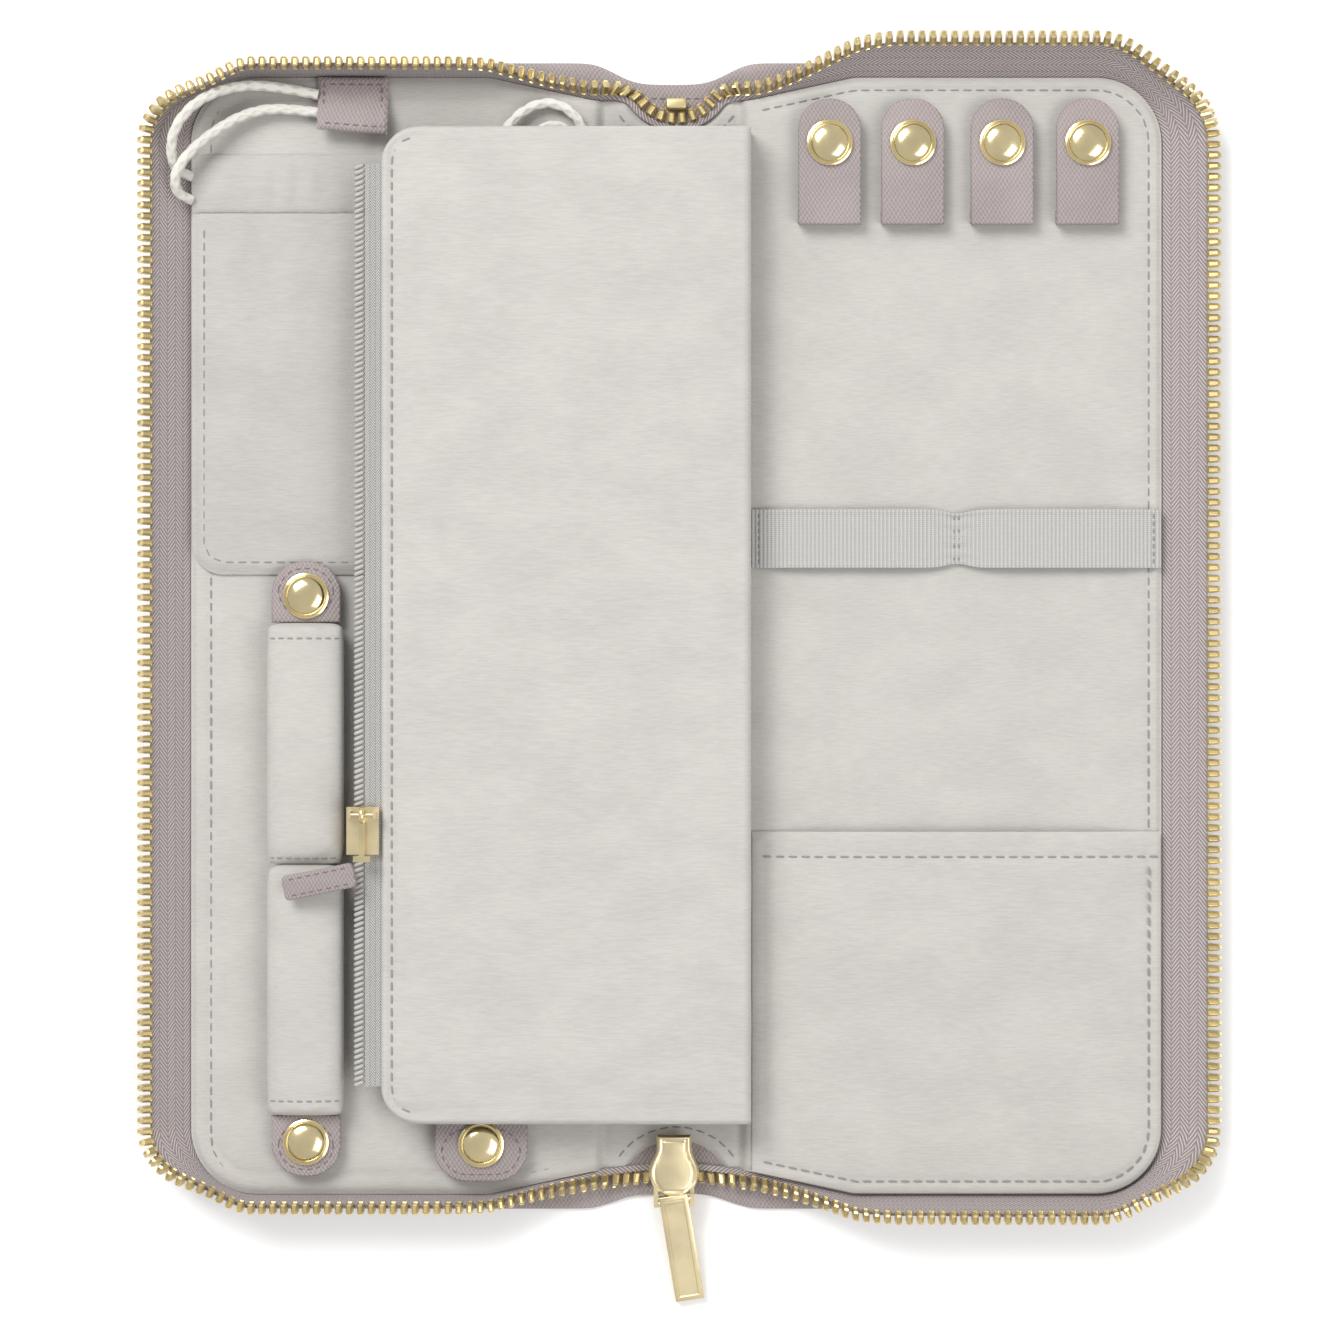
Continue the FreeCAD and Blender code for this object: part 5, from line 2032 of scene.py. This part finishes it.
# ================================================================ leaf
@dataclass
class Leaf:
    """The padded, zipped page between the covers."""

    wardrobe: Wardrobe
    free_x: float = -61.5
    root_x: float = 16.2
    low_y: float = -102.6
    high_y: float = 107.0
    low_z: float = 10.0
    high_z: float = 14.0
    corner: float = 8.0
    seam: float = 2.3
    coil_x: float = -66.1
    coil_low: float = -94.6
    coil_high: float = 99.0

    def spot(self, u: float, v: float) -> tuple[float, float, float]:
        """Place and distance to the edge of a point of the page.

        Args:
            u: share of the way across, from 0 to 1.
            v: share of the way along, from 0 to 1.

        Returns:
            The x, the y and the distance to the edge.
        """
        if u < 0.2:
            x = self.free_x + self.corner * (1 - cos(pi / 2 * u / 0.2))
        else:
            x = self.free_x + self.corner + (self.root_x - self.free_x - self.corner) * (u - 0.2) / 0.8
        near = x - self.free_x
        cut = 0.0
        if near < self.corner:
            cut = self.corner - sqrt(max(self.corner ** 2 - (self.corner - near) ** 2, 0))
        low, high = self.low_y + cut, self.high_y - cut
        bent = 0.5 - 0.5 * cos(pi * v)
        y = low + (high - low) * (0.55 * v + 0.45 * bent)
        gap = min(near, y - low, high - y)
        return x, y, max(gap, 0.0)

    def point(self, u: float, v: float, under: bool) -> Point:
        """A point of the page: full in the middle, thin at its sewn border.

        Args:
            u: share of the way across, from 0 to 1.
            v: share of the way along, from 0 to 1.
            under: True for the lower surface.

        Returns:
            The point in millimetres.
        """
        x, y, gap = self.spot(u, v)
        gap = min(gap, (self.root_x - x) * 1.4)
        middle = (self.low_z + self.high_z) / 2
        half = (self.high_z - self.low_z) / 2
        edge = sqrt(max(1 - (1 - min(gap / 0.9, 1.0)) ** 2, 0.0))
        sewn = 0.42 * exp(-((gap - self.seam) / 0.75) ** 2) * ease((self.free_x + 14 - x) / 6)
        dimple = 0.07 * sin(y * 2.3) * exp(-((gap - 4.0) / 1.6) ** 2)
        drift = 0.22 * noise.noise(Vector((x * 0.035, y * 0.03, 5.0 if under else 2.0)))
        full = half * (0.62 + 0.38 * ease(gap / 12)) * edge
        rise = max(full - sewn * edge + min(drift, 0.1) * ease(gap / 6) + dimple, 0.02)
        return (x, y, middle + (-rise if under else rise))

    def page(self) -> None:
        """The page itself and its border stitches."""
        piece = shell("leaf_padded_page", 90, 190, lambda u, v: self.point(u, v, False),
                      lambda u, v: self.point(u, v, True))
        dress(piece, self.wardrobe.leaf, "grey_lining", None,
              ("leaf_front", "leaf_back", "leaf_edge_seam", "leaf_binding"), 80)
        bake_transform(piece)
        for label, z in (("front", self.high_z - 0.95), ("back", self.low_z + 0.95)):
            radius = self.corner - self.seam
            line = rounded(self.free_x + self.seam, 30.0, self.low_y + self.seam, self.high_y - self.seam, z,
                           radius)
            kept = [p for p in line if p[0] < self.free_x + self.corner]
            Stitches(f"leaf_{label}_stitches", "leaf", self.wardrobe.lining_thread, "grey_lining",
                     rows=[kept]).make()

    def zip(self) -> None:
        """The page's coil zip: woven tapes and the twisted coil."""
        low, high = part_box("leaf_zip_tapes")
        low, high = [c / MM for c in low], [c / MM for c in high]

        def tape(u: float, v: float, under: bool) -> Point:
            """A point of the tapes.

            Args:
                u: share of the way across, from 0 to 1.
                v: share of the way along, from 0 to 1.
                under: True for the lower surface.

            Returns:
                The point in millimetres.
            """
            x = low[0] + (high[0] - low[0]) * u
            y = low[1] + (high[1] - low[1]) * v
            swell = 0.3 * exp(-(((u - 0.15) / 0.2) ** 2))
            z = 12.45 + swell
            return (x, y, 24.0 - z if under else z)

        cloth = shell("leaf_zip_tape_cloth", 14, 150, lambda u, v: tape(u, v, False),
                      lambda u, v: tape(u, v, True),
                      lambda u, v: (v * (high[1] - low[1]), u * (high[0] - low[0])))
        dress(cloth, self.wardrobe.leaf_tape, "grey_zip_tape", "leaf", ("leaf_zip_tapes",))
        turn = Matrix.Rotation(radians(24), 4, "Z")
        places = []
        for spot, _ in walk([(self.coil_x, self.coil_low, 12.0), (self.coil_x, self.coil_high, 12.0)], 1.15):
            places.append(Matrix.Translation(spot) @ turn)
        coil = repeat("leaf_zip_coil_turns", bead(2.5, 1.0, 2.15, 8), places)
        dress(coil, self.wardrobe.coil, "grey_coil", "leaf", ("leaf_zip_coil",), 80)

    def pull(self) -> None:
        """The folded leather pull."""
        root = Vector((-66.7, -49.9, 16.5))
        turn = radians(12)
        way = Vector((-cos(turn) * 15.6, -sin(turn) * 15.6, -2.6)).normalized()
        piece = slab("leaf_pull_leather", (0.0, -2.6, -0.8), (15.6, 2.6, 0.8), 1.0, 0.4)
        moved(piece, frame_at(root, way, Vector((0, 0, 1))))
        dress(piece, self.wardrobe.leather, "mauve_leather", "leaf_pull", ("leaf_pull",), 60)
        rows = []
        for off in (-1.7, 1.7):
            place = frame_at(root, way, Vector((0, 0, 1)))
            rows.append([tuple(place @ Vector((1.2, off, 0.8))), tuple(place @ Vector((14.4, off, 0.8)))])
        Stitches("leaf_pull_stitches", "leaf_pull", self.wardrobe.leather_thread, "mauve_leather", 1.8, 1.2, 0.3,
                 rows).make()

    def stand(self) -> None:
        """The cloth strip that carries the page's root."""
        low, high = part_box("leaf_stand_strip")
        low, high = [c / MM for c in low], [c / MM for c in high]

        def wall(u: float, v: float, x: float) -> Point:
            """A point of the strip."""
            y = low[1] + (high[1] - low[1]) * v
            return (x + 0.08 * sin(y * 0.21), y, low[2] + (high[2] - low[2]) * u)

        strip = shell("leaf_stand_cloth", 10, 120, lambda u, v: wall(u, v, 15.8), lambda u, v: wall(u, v, 16.2))
        dress(strip, self.wardrobe.lining, "grey_lining", "right_cover", ("leaf_stand_strip",))

    def make(self) -> None:
        """Builds the leaf."""
        self.page()
        self.zip()
        self.pull()
        self.stand()


# ================================================================ studio
@dataclass
class Studio:
    """Camera straight above, pale table and soft light."""

    middle: tuple[float, float] = (-1.7, -6.4)
    view_width: float = 282.2
    lens: float = 100.0
    sensor: float = 36.0
    focus_z: float = 5.0

    def camera(self) -> None:
        """Sets the camera over the case."""
        data = bpy.data.cameras.new("camera")
        data.lens = self.lens
        data.sensor_width = self.sensor
        piece = bpy.data.objects.new("camera", data)
        away = self.view_width * self.lens / self.sensor + self.focus_z
        piece.location = (self.middle[0] * MM, self.middle[1] * MM, away * MM)
        bpy.context.scene.collection.objects.link(piece)
        bpy.context.scene.camera = piece

    def lamp(self, name: str, place: Point, size: float, power: float) -> None:
        """A soft square lamp that looks at the case.

        Args:
            name: the lamp's name.
            place: where it hangs, in metres.
            size: its side in metres.
            power: watts.
        """
        data = bpy.data.lights.new(name, "AREA")
        data.size = size
        data.energy = power
        piece = bpy.data.objects.new(name, data)
        piece.location = place
        piece.rotation_euler = (-Vector(place)).to_track_quat("-Z", "Y").to_euler()
        bpy.context.scene.collection.objects.link(piece)

    def make(self) -> None:
        """Builds table, lamps and sky."""
        clear()
        bpy.ops.mesh.primitive_plane_add(size=6.0, location=(0, 0, -0.0002))
        table = bpy.context.object
        table.name = "table"
        bpy.ops.object.transform_apply(location=True)
        table.data.materials.append(PaleTable("pale_table", Tint(252, 252, 252)).make())
        self.lamp("key_lamp", (-0.7, 0.9, 1.2), 0.8, 21.0)
        self.lamp("fill_lamp", (0.9, -0.5, 1.3), 1.0, 10.0)
        bpy.context.scene.view_settings.view_transform = "Standard"
        world = bpy.data.worlds.new("sky")
        world.use_nodes = True
        world.node_tree.nodes["Background"].inputs["Color"].default_value = (1, 1, 1, 1)
        world.node_tree.nodes["Background"].inputs["Strength"].default_value = 0.62
        bpy.context.scene.world = world


def dress_castings(wardrobe: Wardrobe) -> None:
    """Gives the CAD nodes that stay in sight their finishes.

    Args:
        wardrobe: the case's finishes.
    """
    kept = {"main_slider_body": wardrobe.brushed, "main_slider_pin": wardrobe.brushed,
            "leaf_slider": wardrobe.brushed, "leaf_pull_link": wardrobe.snap, "left_studs": wardrobe.snap,
            "necklace_studs": wardrobe.snap, "ring_bar_upper_snap": wardrobe.snap, "bracelet_snap": wardrobe.snap,
            "ring_bar_lower_snap": wardrobe.snap, "left_cover_board": wardrobe.board,
            "right_cover_board": wardrobe.board}
    kept |= {f"necklace_snap_{i}": wardrobe.snap for i in range(1, 5)}
    for node, material in kept.items():
        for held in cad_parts[node].material_slots:
            held.material = material


OUTER = ((-102.2, 97.4, 4.8), (-105.2, 97.8, 6.6), (-106.2, 102.4, 9.8), (-104.6, 107.6, 12.0), (-99.8, 112.8, 11.6),
         (-92.8, 116.0, 8.4), (-84.6, 116.4, 6.2), (-75.4, 114.6, 5.1))
INNER = ((-102.2, 92.4, 4.8), (-105.0, 92.9, 6.8), (-105.4, 97.2, 9.8), (-102.2, 101.8, 9.6), (-97.4, 106.4, 7.6),
         (-91.0, 110.4, 6.2), (-83.6, 112.0, 5.4), (-75.4, 110.8, 5.0))
LOOP = ((-24.0, 94.2, 4.8), (-20.6, 95.2, 4.9), (-18.4, 99.8, 4.9), (-18.4, 106.0, 4.9), (-21.6, 111.4, 4.9),
        (-27.2, 113.4, 4.9), (-32.8, 110.8, 5.4), (-36.8, 105.4, 6.6), (-39.6, 99.4, 6.8), (-37.8, 93.2, 6.8),
        (-31.6, 92.6, 6.8), (-29.6, 98.6, 6.8), (-30.6, 104.4, 6.2), (-27.0, 108.4, 5.2), (-22.4, 107.6, 4.9),
        (-21.2, 103.4, 4.9), (-24.0, 100.6, 4.8))


def main() -> None:
    """Builds the case in order."""
    logging.basicConfig(level=logging.INFO)
    studio = Studio()
    studio.camera()
    cords = [Drawcord("drawcord_outer_braid", "drawcord_outer", OUTER),
             Drawcord("drawcord_inner_braid", "drawcord_inner", INNER),
             Drawcord("drawcord_loop_braid", "drawcord_loop", LOOP)]
    for cord in cords:
        cord.make()
    wardrobe = Wardrobe()
    for cord in cords:
        cord.declare(wardrobe)
        log.info("made %s", cord.name)
    for cover in (Cover(1, "right_cover", 14.0, 105.5, (9.2, 6.0, 3.0), wardrobe, stitch_inset=2.8),
                  Cover(-1, "left_cover", -15.0, -104.5, (7.6, 1.2, 1.2), wardrobe, stitch_inset=4.3)):
        cover.leather()
        cover.lining()
        cover.border_stitches()
        cover.zip()
        log.info("made the %s cover", cover.name)
    for part in (MainSlider(wardrobe), SnapCaps(wardrobe), NecklaceTabs(wardrobe), ElasticBand(wardrobe),
                 BottomPocket(wardrobe), DrawstringPouch(wardrobe), CordKeeper(wardrobe), RingBar(wardrobe),
                 BraceletStrap(wardrobe), Leaf(wardrobe), studio):
        part.make()
        log.info("made %s", type(part).__name__)
    dress_castings(wardrobe)


if __name__ == "__main__":
    main()
